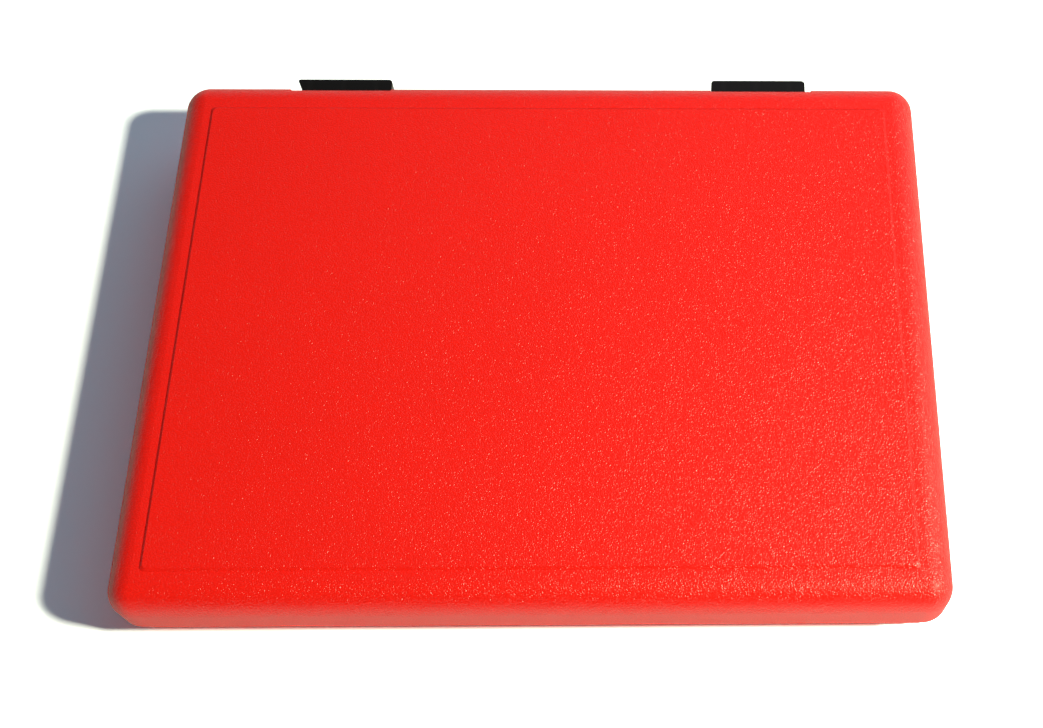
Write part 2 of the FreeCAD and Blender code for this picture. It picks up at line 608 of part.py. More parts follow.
def turret(y, forward):
    """Low turret with two gun barrels."""
    foot_r, top_r, height = TURRET
    gun_r, gun_l, beside, above = GUN
    solid = tapered(foot_r, top_r, Vector(0, y, HULL_H), Vector(0, 0, 1), height)
    for x in (-beside, beside):
        solid = solid.fuse(faceted(gun_r, Vector(x, y, HULL_H + above), Vector(0, forward, 0), gun_l))
    return solid


def fittings(name):
    """What stands on one ship's deck besides its houses."""
    if name == "carrier":
        return [flight_deck()]
    if name == "battleship":
        return [turret(TURRET_Y, 1), turret(-TURRET_Y, -1)]
    if name == "cruiser":
        foot_r, top_r, height, y = FUNNEL
        return [tapered(foot_r, top_r, Vector(0, y, HULL_H), Vector(0, 0, 1), height)]
    return []


def ship(name):
    """Ship with its houses, fittings, pins and peg holes, standing in the rack."""
    one = FLEET[name]
    up = Vector(0, 0, 1)
    solid = hull(name)
    for piece in [deck_house(*sizes) for sizes in HOUSES[name]] + fittings(name):
        solid = solid.fuse(piece)
    for _, y in ship_pin_points(name):
        foot = Vector(0, y - one["y"], -SHIP_PIN_L)
        solid = solid.fuse(faceted(SHIP_PIN_R, foot, up, SHIP_PIN_L + HOLE_FLOOR / 2))
    for cell in range(one["cells"]):
        y = FIELD_PITCH * (cell - (one["cells"] - 1) / 2)
        solid = solid.cut(faceted(PEG_HOLE_R * HOLE_FIT, Vector(0, y, HOLE_FLOOR), up, 2 * HULL_H))
    solid = solid.removeSplitter()
    solid.translate(Vector(one["x"], one["y"], RACK_DECK_Z))
    return solid


SIDES = {"left": -1, "right": 1}
NODES = {
    "lid_shell": lid_shell(),
    "base_shell": base_shell(),
    "target_panel": target_panel(),
    "ocean_grid": ocean_grid(),
    "ship_rack": ship_rack(),
    "peg_tray": peg_tray(),
    "lid_screws": lid_screws(),
    "base_screws": base_screws(),
    "white_pegs": peg_group(WHITE_ROWS, WHITE_FIRST_Y),
    "red_pegs": peg_group(RED_ROWS, RED_FIRST_Y),
}
for name in FLEET:
    NODES[name] = ship(name)
for name, side in SIDES.items():
    NODES["hinge_lid_leaf_" + name] = hinge_lid_leaf(side)
    NODES["hinge_base_leaf_" + name] = hinge_base_leaf(side)
    NODES["hinge_pin_" + name] = hinge_pin(side)

for name, shape in NODES.items():
    shape.exportStep("parts/" + name + ".step")
    box_now = shape.BoundBox
    print(name, "valid" if shape.isValid() else "NOT VALID", "solids", len(shape.Solids),
          "volume %.0f" % shape.Volume, "z %.2f to %.2f" % (box_now.ZMin, box_now.ZMax))
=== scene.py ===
import math
import random

import bmesh
import bpy
from bpy.props import FloatProperty, FloatVectorProperty, IntProperty, PointerProperty
from mathutils import Matrix, Vector


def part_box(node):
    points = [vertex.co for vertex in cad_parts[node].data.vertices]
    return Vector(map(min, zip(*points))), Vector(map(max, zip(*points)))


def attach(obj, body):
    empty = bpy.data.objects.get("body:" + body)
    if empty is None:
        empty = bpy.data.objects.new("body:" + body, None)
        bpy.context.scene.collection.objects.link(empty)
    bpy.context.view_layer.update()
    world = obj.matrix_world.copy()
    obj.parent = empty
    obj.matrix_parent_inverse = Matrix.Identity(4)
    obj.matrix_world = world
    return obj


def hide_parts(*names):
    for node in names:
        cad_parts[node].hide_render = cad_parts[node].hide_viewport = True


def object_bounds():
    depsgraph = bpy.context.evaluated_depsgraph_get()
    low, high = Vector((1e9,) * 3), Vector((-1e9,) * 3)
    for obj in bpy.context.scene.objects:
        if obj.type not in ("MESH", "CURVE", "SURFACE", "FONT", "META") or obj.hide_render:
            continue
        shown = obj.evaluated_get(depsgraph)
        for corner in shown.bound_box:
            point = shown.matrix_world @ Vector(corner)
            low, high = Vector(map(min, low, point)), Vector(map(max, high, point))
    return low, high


bl_info = {
    "name": "Fleet guessing case",
    "version": (1, 0, 0),
    "blender": (4, 5, 0),
    "location": "View3D > Sidebar > Game case",
    "description": "Dresses a hinged peg-game case: shells, hinges, panels, bays, ships, pegs and screws",
    "category": "Add Mesh",
}

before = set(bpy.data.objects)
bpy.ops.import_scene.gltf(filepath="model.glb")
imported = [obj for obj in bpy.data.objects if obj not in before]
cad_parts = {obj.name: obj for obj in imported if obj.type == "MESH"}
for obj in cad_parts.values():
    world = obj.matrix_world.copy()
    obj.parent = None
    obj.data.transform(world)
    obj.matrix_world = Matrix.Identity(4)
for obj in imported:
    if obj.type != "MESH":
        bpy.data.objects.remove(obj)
CAD_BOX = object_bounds()

# One millimetre, in the scene's metres
MM = 0.001
SHARP_ANGLE = math.radians(40)

# The photograph's frame, and where its camera stood: millimetres from the middle of the case's foot
IMAGE_WIDTH = 1043
IMAGE_HEIGHT = 728
FOCAL_PIXELS = 1470.0
MIDDLE_PIXEL = (700.1, 362.9)
SENSOR_WIDTH = 36.0
CAMERA_PLACE = Vector((51.7, -280.4, 592.0)) * MM
CAMERA_PITCH = math.radians(64.53)
CAMERA_YAW = math.radians(3.16)
CAMERA_ROLL = math.radians(2.77)


def linear(hex_colour):
    """Linear colour with full cover, from an sRGB hex value."""
    shares = [int(hex_colour[i:i + 2], 16) / 255 for i in (1, 3, 5)]
    return tuple(s / 12.92 if s <= 0.04045 else ((s + 0.055) / 1.055) ** 2.4 for s in shares) + (1.0,)


def colour_property(label, says, hex_colour):
    """Colour that a user would change."""
    return FloatVectorProperty(name=label, description=says, subtype="COLOR", size=4, min=0.0, max=1.0,
                               default=linear(hex_colour))


def length_property(label, says, millimetres):
    """Size that a user would change, given in millimetres."""
    return FloatProperty(name=label, description=says, default=millimetres * MM, min=0.0, unit="LENGTH",
                         precision=4)


class ShellLooks(bpy.types.PropertyGroup):
    """Colour and grain of the two shells."""

    red: colour_property("Shell red", "Pigment of the moulded shells", "#FB1704")
    grain: length_property("Grain", "Width of one pebble of the moulded grain", 0.62)
    relief: length_property("Relief", "Depth of the moulded grain", 0.4)


class HingeLooks(bpy.types.PropertyGroup):
    """Colour, sunken rib marks with their painted highlight, and edges of the hinge blocks."""

    black: colour_property("Hinge black", "Pigment of the hinge blocks", "#040404")
    rib_pitch: length_property("Rib pitch", "Distance between the ribs inside a block", 15.0)
    # This width also sets the width of the painted highlight over each rib.
    sink_width: length_property("Sink width", "Width of the faint dip over each rib", 2.4)
    edge: length_property("Edge", "Round of the blocks' edges", 0.3)


class PanelSizes(bpy.types.PropertyGroup):
    """Sizes and colours of the two playing panels."""

    count: IntProperty(name="Holes a side", description="Peg holes along each side of a field",
                       default=10, min=2)
    pitch: length_property("Hole pitch", "Distance between peg holes", 18.0)
    hole_radius: length_property("Hole radius", "Radius of a peg hole", 1.7)
    plate: length_property("Plate", "Thickness of a panel", 2.0)
    edge: length_property("Edge", "Round of a panel's edges and holes", 0.2)
    corner: length_property("Corner", "Radius of a panel's corners", 2.0)
    frame_reach: length_property("Frame reach", "Middle of a field to the outside of its frame", 93.0)
    frame_rib: length_property("Frame rib", "Width of the raised frame", 1.6)
    frame_height: length_property("Frame height", "Height of the raised frame", 0.8)
    line_width: length_property("Line width", "Width of the raised lines between the holes", 0.7)
    line_height: length_property("Line height", "Height of the raised lines between the holes", 0.3)
    letter: length_property("Letter size", "Height of the printed letters and numbers", 7.0)
    black: colour_property("Target black", "Pigment of the target panel and the bays", "#16171A")
    blue: colour_property("Ocean blue", "Pigment of the ocean grid", "#1B55A8")
    ink: colour_property("Ink", "Printed letters and numbers", "#E6E8E8")


class PegSizes(bpy.types.PropertyGroup):
    """Sizes, counts and colours of the marker pegs."""

    shaft_radius: length_property("Shaft radius", "Radius of a peg's shaft", 1.5)
    shaft_length: length_property("Shaft length", "Length of a peg's shaft", 8.0)
    head_radius: length_property("Head radius", "Radius of a peg's head", 2.3)
    head_length: length_property("Head length", "Length of a peg's head", 3.5)
    white_count: IntProperty(name="White pegs", description="White pegs in the tray", default=84, min=1)
    red_count: IntProperty(name="Red pegs", description="Red pegs in the tray", default=42, min=1)
    white: colour_property("Peg white", "Pigment of the white pegs", "#EFEDE4")
    red: colour_property("Peg red", "Pigment of the red pegs", "#CE1713")


class ShipSizes(bpy.types.PropertyGroup):
    """Sizes and colour of the five ships."""

    hull: length_property("Hull", "Height of a hull, from its foot to its deck", 5.5)
    hole_floor: length_property("Hole floor", "Foot of a ship to the bottom of its peg holes", 1.5)
    grey: colour_property("Ship grey", "Pigment of the ships", "#868D93")


class StageLooks(bpy.types.PropertyGroup):
    """Light and floor round the case."""

    lamp_power: FloatProperty(name="Lamp power", description="Power of the lamp at the right", default=44.0,
                              min=0.0, subtype="POWER")
    lamp_distance: FloatProperty(name="Lamp distance", description="Lamp to the middle of the case",
                                 default=1.84, min=0.1, unit="LENGTH")
    lamp_size: FloatProperty(name="Lamp size", description="Side of the square lamp", default=0.13, min=0.01,
                             unit="LENGTH")
    lamp_colour: colour_property("Lamp colour", "Slightly warm light of the lamp", "#FFEECE")
    window: colour_property("Window light", "Cool light from the back and right", "#B6BECB")
    room: colour_property("Room light", "Dim light from the other sides", "#484848")
    floor_bounce: colour_property("Floor bounce", "What the floor gives back to the object", "#ECECEC")


def add(tree, kind, settings=None, inputs=None):
    """Adds one node; each input takes a value, or the output that is linked to it."""
    made = tree.nodes.new(kind)
    for name, value in (settings or {}).items():
        setattr(made, name, value)
    for name, value in (inputs or {}).items():
        if isinstance(value, bpy.types.NodeSocket):
            tree.links.new(value, made.inputs[name])
        else:
            made.inputs[name].default_value = value
    return made


def empty_tree(owner):
    """Node tree of a material or a world, with nothing in it yet."""
    owner.use_nodes = True
    owner.node_tree.nodes.clear()
    return owner.node_tree


def new_finish(name, **sockets):
    """Starts a finish: its material, its node tree and its shader, with the values that hold all over."""
    material = bpy.data.materials.new(name)
    tree = empty_tree(material)
    held = {socket.replace("_", " "): value for socket, value in sockets.items()}
    shader = add(tree, "ShaderNodeBsdfPrincipled", inputs=held)
    add(tree, "ShaderNodeOutputMaterial", inputs={"Surface": shader.outputs[0]})
    return material, tree, shader


def feed(shader, **patterns):
    """Links the first output of each pattern to the shader's socket of that name."""
    for socket, pattern in patterns.items():
        shader.id_data.links.new(pattern.outputs[0], shader.inputs[socket.replace("_", " ")])


def shade_of(colour, gain):
    """The same pigment, lighter or darker."""
    return tuple(min(1.0, c * gain) for c in colour[:3]) + (1.0,)


# Gloss of the grained skin, seen square on and seen along the surface
SKIN_GLOSS = (0.85, 0.15)


def grained_polystyrene(looks):
    """Red high-impact polystyrene, injection moulded in a tool with an etched leather grain.

    Light scatters below the skin, so the pigment shows a deep red. Painted shade makes it a little darker
    between the pebbles and painted light a little lighter on their tops. The pebbles' steep flanks break
    the skin's gloss into sparkles, which lie thickest near the lamp. Seen along the surface they hide each
    other, so the gloss fades there.
    """
    material, tree, shader = new_finish(
        "grained_red_polystyrene", IOR=1.59, Specular_IOR_Level=0.1, Roughness=0.5,
        Coat_Weight=SKIN_GLOSS[0], Coat_Roughness=0.31, Coat_IOR=1.59)
    place = add(tree, "ShaderNodeTexCoord").outputs["Object"]
    wander = add(tree, "ShaderNodeTexNoise", inputs={
        "Vector": place, "Scale": 0.5 / looks.grain, "Detail": 1.0})
    bent = add(tree, "ShaderNodeVectorMath", {"operation": "MULTIPLY_ADD"},
               {0: wander.outputs["Color"], 1: [looks.grain] * 3, 2: place})
    pebbles = add(tree, "ShaderNodeTexNoise", inputs={
        "Vector": bent.outputs[0], "Scale": 1 / looks.grain, "Detail": 1.0, "Roughness": 0.3})
    body = add(tree, "ShaderNodeBump", inputs={
        "Strength": 1.0, "Distance": 0.1 * looks.relief, "Height": pebbles.outputs["Fac"]})
    skin = add(tree, "ShaderNodeBump", inputs={
        "Strength": 1.0, "Distance": looks.relief, "Height": pebbles.outputs["Fac"]})
    slant = add(tree, "ShaderNodeLayerWeight", inputs={"Blend": 0.5}).outputs["Facing"]
    gloss = add(tree, "ShaderNodeMapRange", inputs={
        "Value": slant, "From Min": 0.35, "From Max": 0.85,
        "To Min": SKIN_GLOSS[0], "To Max": SKIN_GLOSS[1]})
    flow = add(tree, "ShaderNodeTexNoise", inputs={"Vector": place, "Scale": 1 / (35 * MM), "Detail": 2.0})
    tone = add(tree, "ShaderNodeMixRGB", inputs={
        "Fac": flow.outputs["Fac"], "Color1": shade_of(looks.red, 0.97),
        "Color2": shade_of(looks.red, 1.03)})
    # Painted shade and light: the colour is darker between the pebbles and lighter on their tops.
    painted_pebble_shade = add(tree, "ShaderNodeMapRange", inputs={
        "Value": pebbles.outputs["Fac"], "From Min": 0.35, "From Max": 0.65, "To Min": 0.92, "To Max": 1.05})
    shaded = add(tree, "ShaderNodeVectorMath", {"operation": "SCALE"},
                 {0: tone.outputs[0], "Scale": painted_pebble_shade.outputs[0]})
    feed(shader, Base_Color=shaded, Coat_Weight=gloss, Normal=body, Coat_Normal=skin)
    return material


def satin_polypropylene(looks, middle):
    """Black polypropylene, moulded with a satin tool: soft gloss, with faint sunken marks over the ribs that
    carry a painted highlight.
    """
    material, tree, shader = new_finish("satin_black_polypropylene", IOR=1.49)
    place = add(tree, "ShaderNodeTexCoord").outputs["Object"]
    along = add(tree, "ShaderNodeSeparateXYZ", inputs={0: place}).outputs["X"]
    half = add(tree, "ShaderNodeMath", {"operation": "ABSOLUTE"}, {0: along})
    beside = add(tree, "ShaderNodeMath", {"operation": "SUBTRACT"}, {0: half.outputs[0], 1: middle})
    outward = add(tree, "ShaderNodeMath", {"operation": "ABSOLUTE"}, {0: beside.outputs[0]})
    rib = add(tree, "ShaderNodeMath", {"operation": "PINGPONG"},
              {0: outward.outputs[0], 1: looks.rib_pitch / 2})
    sink_and_highlight = add(tree, "ShaderNodeMapRange", {"interpolation_type": "SMOOTHSTEP"}, {
        "Value": rib.outputs[0], "From Min": 0.0, "From Max": looks.sink_width,
        "To Min": 1.0, "To Max": 0.0})
    spark = add(tree, "ShaderNodeTexNoise", inputs={"Vector": place, "Scale": 1 / (0.5 * MM), "Detail": 3.0})
    height = add(tree, "ShaderNodeMath", {"operation": "MULTIPLY_ADD"},
                 {0: sink_and_highlight.outputs[0], 1: -1.6, 2: spark.outputs["Fac"]})
    relief = add(tree, "ShaderNodeBump", inputs={
        "Strength": 1.0, "Distance": 0.03 * MM, "Height": height.outputs[0]})
    # Painted highlight: over each rib's sunken mark the black is painted 2.2 times lighter.
    tone = add(tree, "ShaderNodeMixRGB", inputs={
        "Fac": sink_and_highlight.outputs[0], "Color1": looks.black, "Color2": shade_of(looks.black, 2.2)})
    gloss = add(tree, "ShaderNodeMapRange", inputs={
        "Value": spark.outputs["Fac"], "To Min": 0.36, "To Max": 0.5})
    feed(shader, Base_Color=tone, Roughness=gloss, Normal=relief)
    return material


def spark_polystyrene(name, colour, grit, rough):
    """Opaque polystyrene from a spark-eroded tool: an even pigment under a fine dull sparkle."""
    material, tree, shader = new_finish(name, IOR=1.55)
    place = add(tree, "ShaderNodeTexCoord").outputs["Object"]
    spark = add(tree, "ShaderNodeTexNoise", inputs={"Vector": place, "Scale": 1 / grit, "Detail": 3.0})
    flow = add(tree, "ShaderNodeTexNoise", inputs={"Vector": place, "Scale": 1 / (25 * MM), "Detail": 2.0})
    tone = add(tree, "ShaderNodeMixRGB", inputs={
        "Fac": flow.outputs["Fac"], "Color1": shade_of(colour, 0.9), "Color2": shade_of(colour, 1.1)})
    gloss = add(tree, "ShaderNodeMapRange", inputs={
        "Value": spark.outputs["Fac"], "To Min": rough - 0.08, "To Max": rough + 0.08})
    relief = add(tree, "ShaderNodeBump", inputs={
        "Strength": 1.0, "Distance": 0.05 * grit, "Height": spark.outputs["Fac"]})
    feed(shader, Base_Color=tone, Roughness=gloss, Normal=relief)
    return material


def board_black(sizes):
    """The satin black that the target panel and the bays share."""
    name = "satin_black_polystyrene"
    return bpy.data.materials.get(name) or spark_polystyrene(name, sizes.black, 0.6 * MM, 0.42)


def polyethylene(name, colour):
    """Soft moulded polyethylene: a waxy gloss, and light that sinks a little way in."""
    material, tree, shader = new_finish(name, IOR=1.51, Subsurface_Weight=0.15, Subsurface_Scale=0.6 * MM)
    place = add(tree, "ShaderNodeTexCoord").outputs["Object"]
    wax = add(tree, "ShaderNodeTexNoise", inputs={"Vector": place, "Scale": 1 / (2 * MM), "Detail": 2.0})
    tone = add(tree, "ShaderNodeMixRGB", inputs={
        "Fac": wax.outputs["Fac"], "Color1": shade_of(colour, 0.94), "Color2": shade_of(colour, 1.04)})
    gloss = add(tree, "ShaderNodeMapRange", inputs={
        "Value": wax.outputs["Fac"], "To Min": 0.24, "To Max": 0.36})
    feed(shader, Base_Color=tone, Roughness=gloss)
    return material


def drawn_steel(name, hex_colour, stretch, rough):
    """Steel wire or plated steel: bright metal, with fine marks along the way it was drawn."""
    material, tree, shader = new_finish(name, Metallic=1.0)
    place = add(tree, "ShaderNodeTexCoord").outputs["Object"]
    lie = add(tree, "ShaderNodeMapping", {"vector_type": "TEXTURE"}, {"Vector": place, "Scale": stretch})
    marks = add(tree, "ShaderNodeTexNoise", inputs={
        "Vector": lie.outputs[0], "Scale": 1 / (0.25 * MM), "Detail": 4.0})
    colour = linear(hex_colour)
    tone = add(tree, "ShaderNodeMixRGB", inputs={
        "Fac": marks.outputs["Fac"], "Color1": shade_of(colour, 0.85), "Color2": shade_of(colour, 1.1)})
    gloss = add(tree, "ShaderNodeMapRange", inputs={
        "Value": marks.outputs["Fac"], "To Min": rough - 0.08, "To Max": rough + 0.1})
    feed(shader, Base_Color=tone, Roughness=gloss)
    return material


def printed_ink(colour):
    """Pad-printed ink: a thin matt film, a little uneven in its cover."""
    material, tree, shader = new_finish("pad_printed_ink", IOR=1.48)
    place = add(tree, "ShaderNodeTexCoord").outputs["Object"]
    cover = add(tree, "ShaderNodeTexNoise", inputs={"Vector": place, "Scale": 1 / (0.8 * MM), "Detail": 4.0})
    tone = add(tree, "ShaderNodeMixRGB", inputs={
        "Fac": cover.outputs["Fac"], "Color1": shade_of(colour, 0.82), "Color2": shade_of(colour, 1.05)})
    gloss = add(tree, "ShaderNodeMapRange", inputs={
        "Value": cover.outputs["Fac"], "To Min": 0.45, "To Max": 0.6})
    feed(shader, Base_Color=tone, Roughness=gloss)
    return material


def dress(finish, *nodes):
    """Gives carried-over CAD nodes their finish."""
    for name in nodes:
        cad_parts[name].material_slots[0].material = finish


def soften(width, *nodes):
    """Rounds the sharp edges of carried-over CAD nodes a little, so that they catch the light."""
    for name in nodes:
        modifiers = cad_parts[name].modifiers
        modifiers.new("weld", "WELD").merge_threshold = 0.002 * MM
        flat = modifiers.new("whole_faces", "DECIMATE")
        flat.decimate_type = "DISSOLVE"
        flat.angle_limit = math.radians(1)
        bevel = modifiers.new("soft_edges", "BEVEL")
        bevel.width = width
        bevel.segments = 2
        bevel.limit_method = "ANGLE"
        bevel.angle_limit = SHARP_ANGLE
        bevel.harden_normals = True


def add_piece(name, mesh, finish, body, slot, *nodes):
    """Adds a mesh to the scene as one piece that rides on a body and stands for CAD nodes."""
    mesh.materials.clear()
    mesh.materials.append(finish)
    mesh.shade_smooth()
    mesh.set_sharp_from_angle(angle=SHARP_ANGLE)
    piece = bpy.data.objects.new(name, mesh)
    bpy.context.scene.collection.objects.link(piece)
    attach(piece, body)
    if nodes:
        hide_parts(*nodes)
    return piece


def joined(name, meshes):
    """One mesh from several."""
    shape = bmesh.new()
    for mesh in meshes:
        shape.from_mesh(mesh)
        bpy.data.meshes.remove(mesh)
    whole = bpy.data.meshes.new(name)
    shape.to_mesh(whole)
    shape.free()
    return whole


def circle(x, y, radius, sides=24):
    """Points round a circle."""
    turns = [2 * math.pi * i / sides for i in range(sides)]
    return [(x + radius * math.cos(t), y + radius * math.sin(t)) for t in turns]


def rounded_rectangle(x0, x1, y0, y1, radius, steps=6):
    """Points round a rectangle with round corners."""
    centres = [(x1 - radius, y1 - radius), (x0 + radius, y1 - radius), (x0 + radius, y0 + radius),
               (x1 - radius, y0 + radius)]
    points = []
    for quarter, (cx, cy) in enumerate(centres):
        turns = [math.pi / 2 * (quarter + i / steps) for i in range(steps + 1)]
        points += [(cx + radius * math.cos(t), cy + radius * math.sin(t)) for t in turns]
    return points


def plate(outlines, z0, z1, edge):
    """Flat plate with rounded edges: the first outline is its rim, and the others are cut out of it.

    The outline is filled in millimetres, because the fill drops points that lie too close in metres.
    """
    curve = bpy.data.curves.new("plate", "CURVE")
    curve.dimensions = "2D"
    curve.fill_mode = "BOTH"
    curve.extrude = ((z1 - z0) / 2 - edge) / MM
    curve.bevel_depth = edge / MM
    curve.bevel_resolution = 1
    curve.offset = -edge / MM
    for points in outlines:
        spline = curve.splines.new("POLY")
        spline.points.add(len(points) - 1)
        for point, (x, y) in zip(spline.points, points):
            point.co = (x / MM, y / MM, 0, 1)
        spline.use_cyclic_u = True
    holder = bpy.data.objects.new("plate", curve)
    mesh = bpy.data.meshes.new_from_object(holder)
    mesh.transform(Matrix.Translation((0, 0, (z0 + z1) / 2)) @ Matrix.Scale(MM, 4))
    bpy.data.objects.remove(holder)
    bpy.data.curves.remove(curve)
    return mesh


def lathe(shape, profile, matrix, sides=20):
    """Round form from pairs of radius and height, foot first, turned about its own Z axis."""
    rings = []
    for radius, height in profile:
        points = circle(0, 0, radius, sides) if radius else [(0, 0)]
        rings.append([shape.verts.new(matrix @ Vector((x, y, height))) for x, y in points])
    for low, high in zip(rings, rings[1:]):
        for i in range(sides):
            j = (i + 1) % sides
            corners = [low[i % len(low)], low[j % len(low)], high[j % len(high)], high[i % len(high)]]
            shape.faces.new(list(dict.fromkeys(corners)))


def loft(shape, rings):
    """Closed form through rings of points, foot first, each going round the same way."""
    rows = [[shape.verts.new(p) for p in ring] for ring in rings]
    count = len(rows[0])
    for low, high in zip(rows, rows[1:]):
        for i in range(count):
            j = (i + 1) % count
            shape.faces.new([low[i], low[j], high[j], high[i]])
    shape.faces.new(rows[0][::-1])
    shape.faces.new(rows[-1])


def block(shape, width, length, x, y, foot, top, draw=0.3, edge=0.3, corner=0.3, steps=3):
    """House or fitting with round upright corners, drawn in towards its top, with a rounded top edge."""
    rings = []
    bend = 0.3 * edge
    for z, inset in ((foot, 0.0), (top - edge, draw), (top - bend, draw + bend), (top, draw + edge)):
        w = width / 2 - inset
        d = length / 2 - inset
        outline = rounded_rectangle(x - w, x + w, y - d, y + d, min(w, d) * corner, steps)
        rings.append([Vector((px, py, z)) for px, py in outline])
    loft(shape, rings)


def finished_mesh(name, shape, matrix=Matrix.Identity(4)):
    """Turns a worked shape into a mesh at its place."""
    bmesh.ops.recalc_face_normals(shape, faces=shape.faces)
    mesh = bpy.data.meshes.new(name)
    shape.to_mesh(mesh)
    shape.free()
    mesh.transform(matrix)
    return mesh


def cut(mesh, cutter):
    """The mesh with another taken out of it."""
    holders = [bpy.data.objects.new("cut", m) for m in (mesh, cutter)]
    for holder in holders:
        bpy.context.scene.collection.objects.link(holder)
    tool = holders[0].modifiers.new("cut", "BOOLEAN")
    tool.object = holders[1]
    tool.operation = "DIFFERENCE"
    tool.solver = "EXACT"
    bpy.context.view_layer.update()
    graph = bpy.context.evaluated_depsgraph_get()
    result = bpy.data.meshes.new_from_object(holders[0].evaluated_get(graph))
    for holder in holders:
        bpy.data.objects.remove(holder)
    for spent in (mesh, cutter):
        bpy.data.meshes.remove(spent)
    return result


def field_steps(sizes):
    """Places of the holes along one side of a field, from its middle."""
    return [sizes.pitch * (i - (sizes.count - 1) / 2) for i in range(sizes.count)]


SCREW_SEAT_RADIUS = 2.4 * MM
TARGET_CORNER = 6 * MM
OCEAN_CORNER = 2 * MM
CELL_CORNER = 0.8 * MM
CELL_STEPS = 3
# Half the thickness of the ink, which the curve tool takes in millimetres
INK_HALF = 0.03
INK_LIFT = 0.02 * MM
OCEAN_SCREWS = [(x * MM, y * MM) for x in (-98, 0, 98) for y in (-109, 109)]
TARGET_SCREWS = [(x * MM, y * MM) for x in (-150, 0, 150) for y in (-109, 104)]
OCEAN_FIELD_Y = -5 * MM
TARGET_FIELD_Y = 3 * MM


def playing_panel(name, node, corner, field_y, face, screws, sizes):
    """Panel with its holes, the raised frame and the raised lines; face is 1 where it looks up, else -1."""
    low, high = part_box(node)
    steps = field_steps(sizes)
    outline = rounded_rectangle(low.x, high.x, low.y, high.y, corner)
    holes = [circle(x, field_y + y, sizes.hole_radius) for x in steps for y in steps]
    seats = [circle(x, y, SCREW_SEAT_RADIUS) for x, y in screws]
    z_face = high.z - sizes.frame_height if face > 0 else low.z + sizes.frame_height
    back = z_face - face * sizes.plate
    sunk = z_face - face * sizes.edge
    parts = [plate([outline] + holes + seats, min(back, z_face), max(back, z_face), sizes.edge)]
    reach = sizes.frame_reach
    inner = reach - sizes.frame_rib
    ribs = [rounded_rectangle(-r, r, field_y - r, field_y + r, sizes.corner) for r in (reach, inner)]
    crest = z_face + face * sizes.frame_height
    parts.append(plate(ribs, min(sunk, crest), max(sunk, crest), sizes.edge))
    half = sizes.pitch * sizes.count / 2
    gap = (sizes.pitch - sizes.line_width) / 2
    grid = [rounded_rectangle(-half, half, field_y - half, field_y + half, CELL_CORNER, CELL_STEPS)]
    for x in steps:
        for y in steps:
            grid.append(rounded_rectangle(x - gap, x + gap, field_y + y - gap, field_y + y + gap,
                                          CELL_CORNER, CELL_STEPS))
    line = z_face + face * sizes.line_height
    parts.append(plate(grid, min(sunk, line), max(sunk, line), sizes.edge / 2))
    return joined(name, parts)


def word_mesh(word, size, matrix):
    """One printed letter or number as a thin film, with its middle at the matrix."""
    text = bpy.data.curves.new("word", "FONT")
    text.body = word
    text.size = size / MM
    text.align_x = "CENTER"
    text.align_y = "CENTER"
    text.extrude = INK_HALF
    holder = bpy.data.objects.new("word", text)
    mesh = bpy.data.meshes.new_from_object(holder)
    mesh.transform(matrix @ Matrix.Scale(MM, 4))
    bpy.data.objects.remove(holder)
    bpy.data.curves.remove(text)
    return mesh


def coordinates(name, sizes, field_y, z, turn, margin):
    """Letters down one side of a field and numbers along another; turn lays the print on its face."""
    words = []
    for i, step in enumerate(field_steps(sizes)):
        rows = ((chr(ord("A") + i), (-margin, -step)), (str(i + 1), (step, margin)))
        for word, (across, upward) in rows:
            place = Matrix.Translation((0, field_y, z)) @ turn @ Matrix.Translation((across, upward, 0))
            words.append(word_mesh(word, sizes.letter, place))
    return joined(name, words)


def peg_mesh(sizes):
    """Marker peg with a soft tip and a domed head, its middle at the origin, along its own Z axis."""
    shaft = sizes.shaft_radius
    head = sizes.head_radius
    neck = sizes.shaft_length
    top = neck + sizes.head_length
    soft = 0.4 * MM
    profile = [
        (0, 0), (shaft - soft, 0), (shaft - 0.3 * soft, 0.3 * soft), (shaft, soft), (shaft, neck),
        (head - 0.5 * soft, neck), (head, neck + 0.5 * soft), (head, top - 2 * soft),
        (head - 0.4 * soft, top - soft), (head - 1.4 * soft, top - 0.3 * soft),
        (head - 3 * soft, top), (0, top)]
    shape = bmesh.new()
    lathe(shape, profile, Matrix.Translation((0, 0, -top / 2)), 16)
    return finished_mesh("peg", shape)


# The drop runs at a hundred times the real size, because the solver keeps very small things poorly apart
DROP_SCALE = 100.0
DROP_FRAMES = 150
DROP_CELL = Vector((15.2, 10.4, 12.0)) * MM
DROP_WALL = 20 * MM


def rigid(holder, kind, shape):
    """Makes an object take part in the drop."""
    bpy.context.view_layer.objects.active = holder
    bpy.ops.rigidbody.object_add(type=kind)
    holder.rigid_body.collision_shape = shape
    holder.rigid_body.use_margin = True
    holder.rigid_body.collision_margin = 0.0
    holder.rigid_body.friction = 0.45
    holder.rigid_body.restitution = 0.1
    holder.rigid_body.linear_damping = 0.15
    holder.rigid_body.angular_damping = 0.3


def bin_sides(low, high):
    """Floor and four walls of a compartment, each as its middle and its half sizes."""
    middle = (low + high) / 2
    half = (high - low) / 2
    wall = Vector((DROP_WALL,) * 3)
    sides = [(Vector((middle.x, middle.y, low.z - wall.z)), half + wall)]
    sides[0][1].z = wall.z
    for axis in (0, 1):
        for sign in (-1, 1):
            place = middle.copy()
            place[axis] += sign * (half[axis] + wall[axis])
            reach = half + wall
            reach[axis] = wall[axis]
            reach.z = 6 * wall.z
            sides.append((place, reach))
    return sides


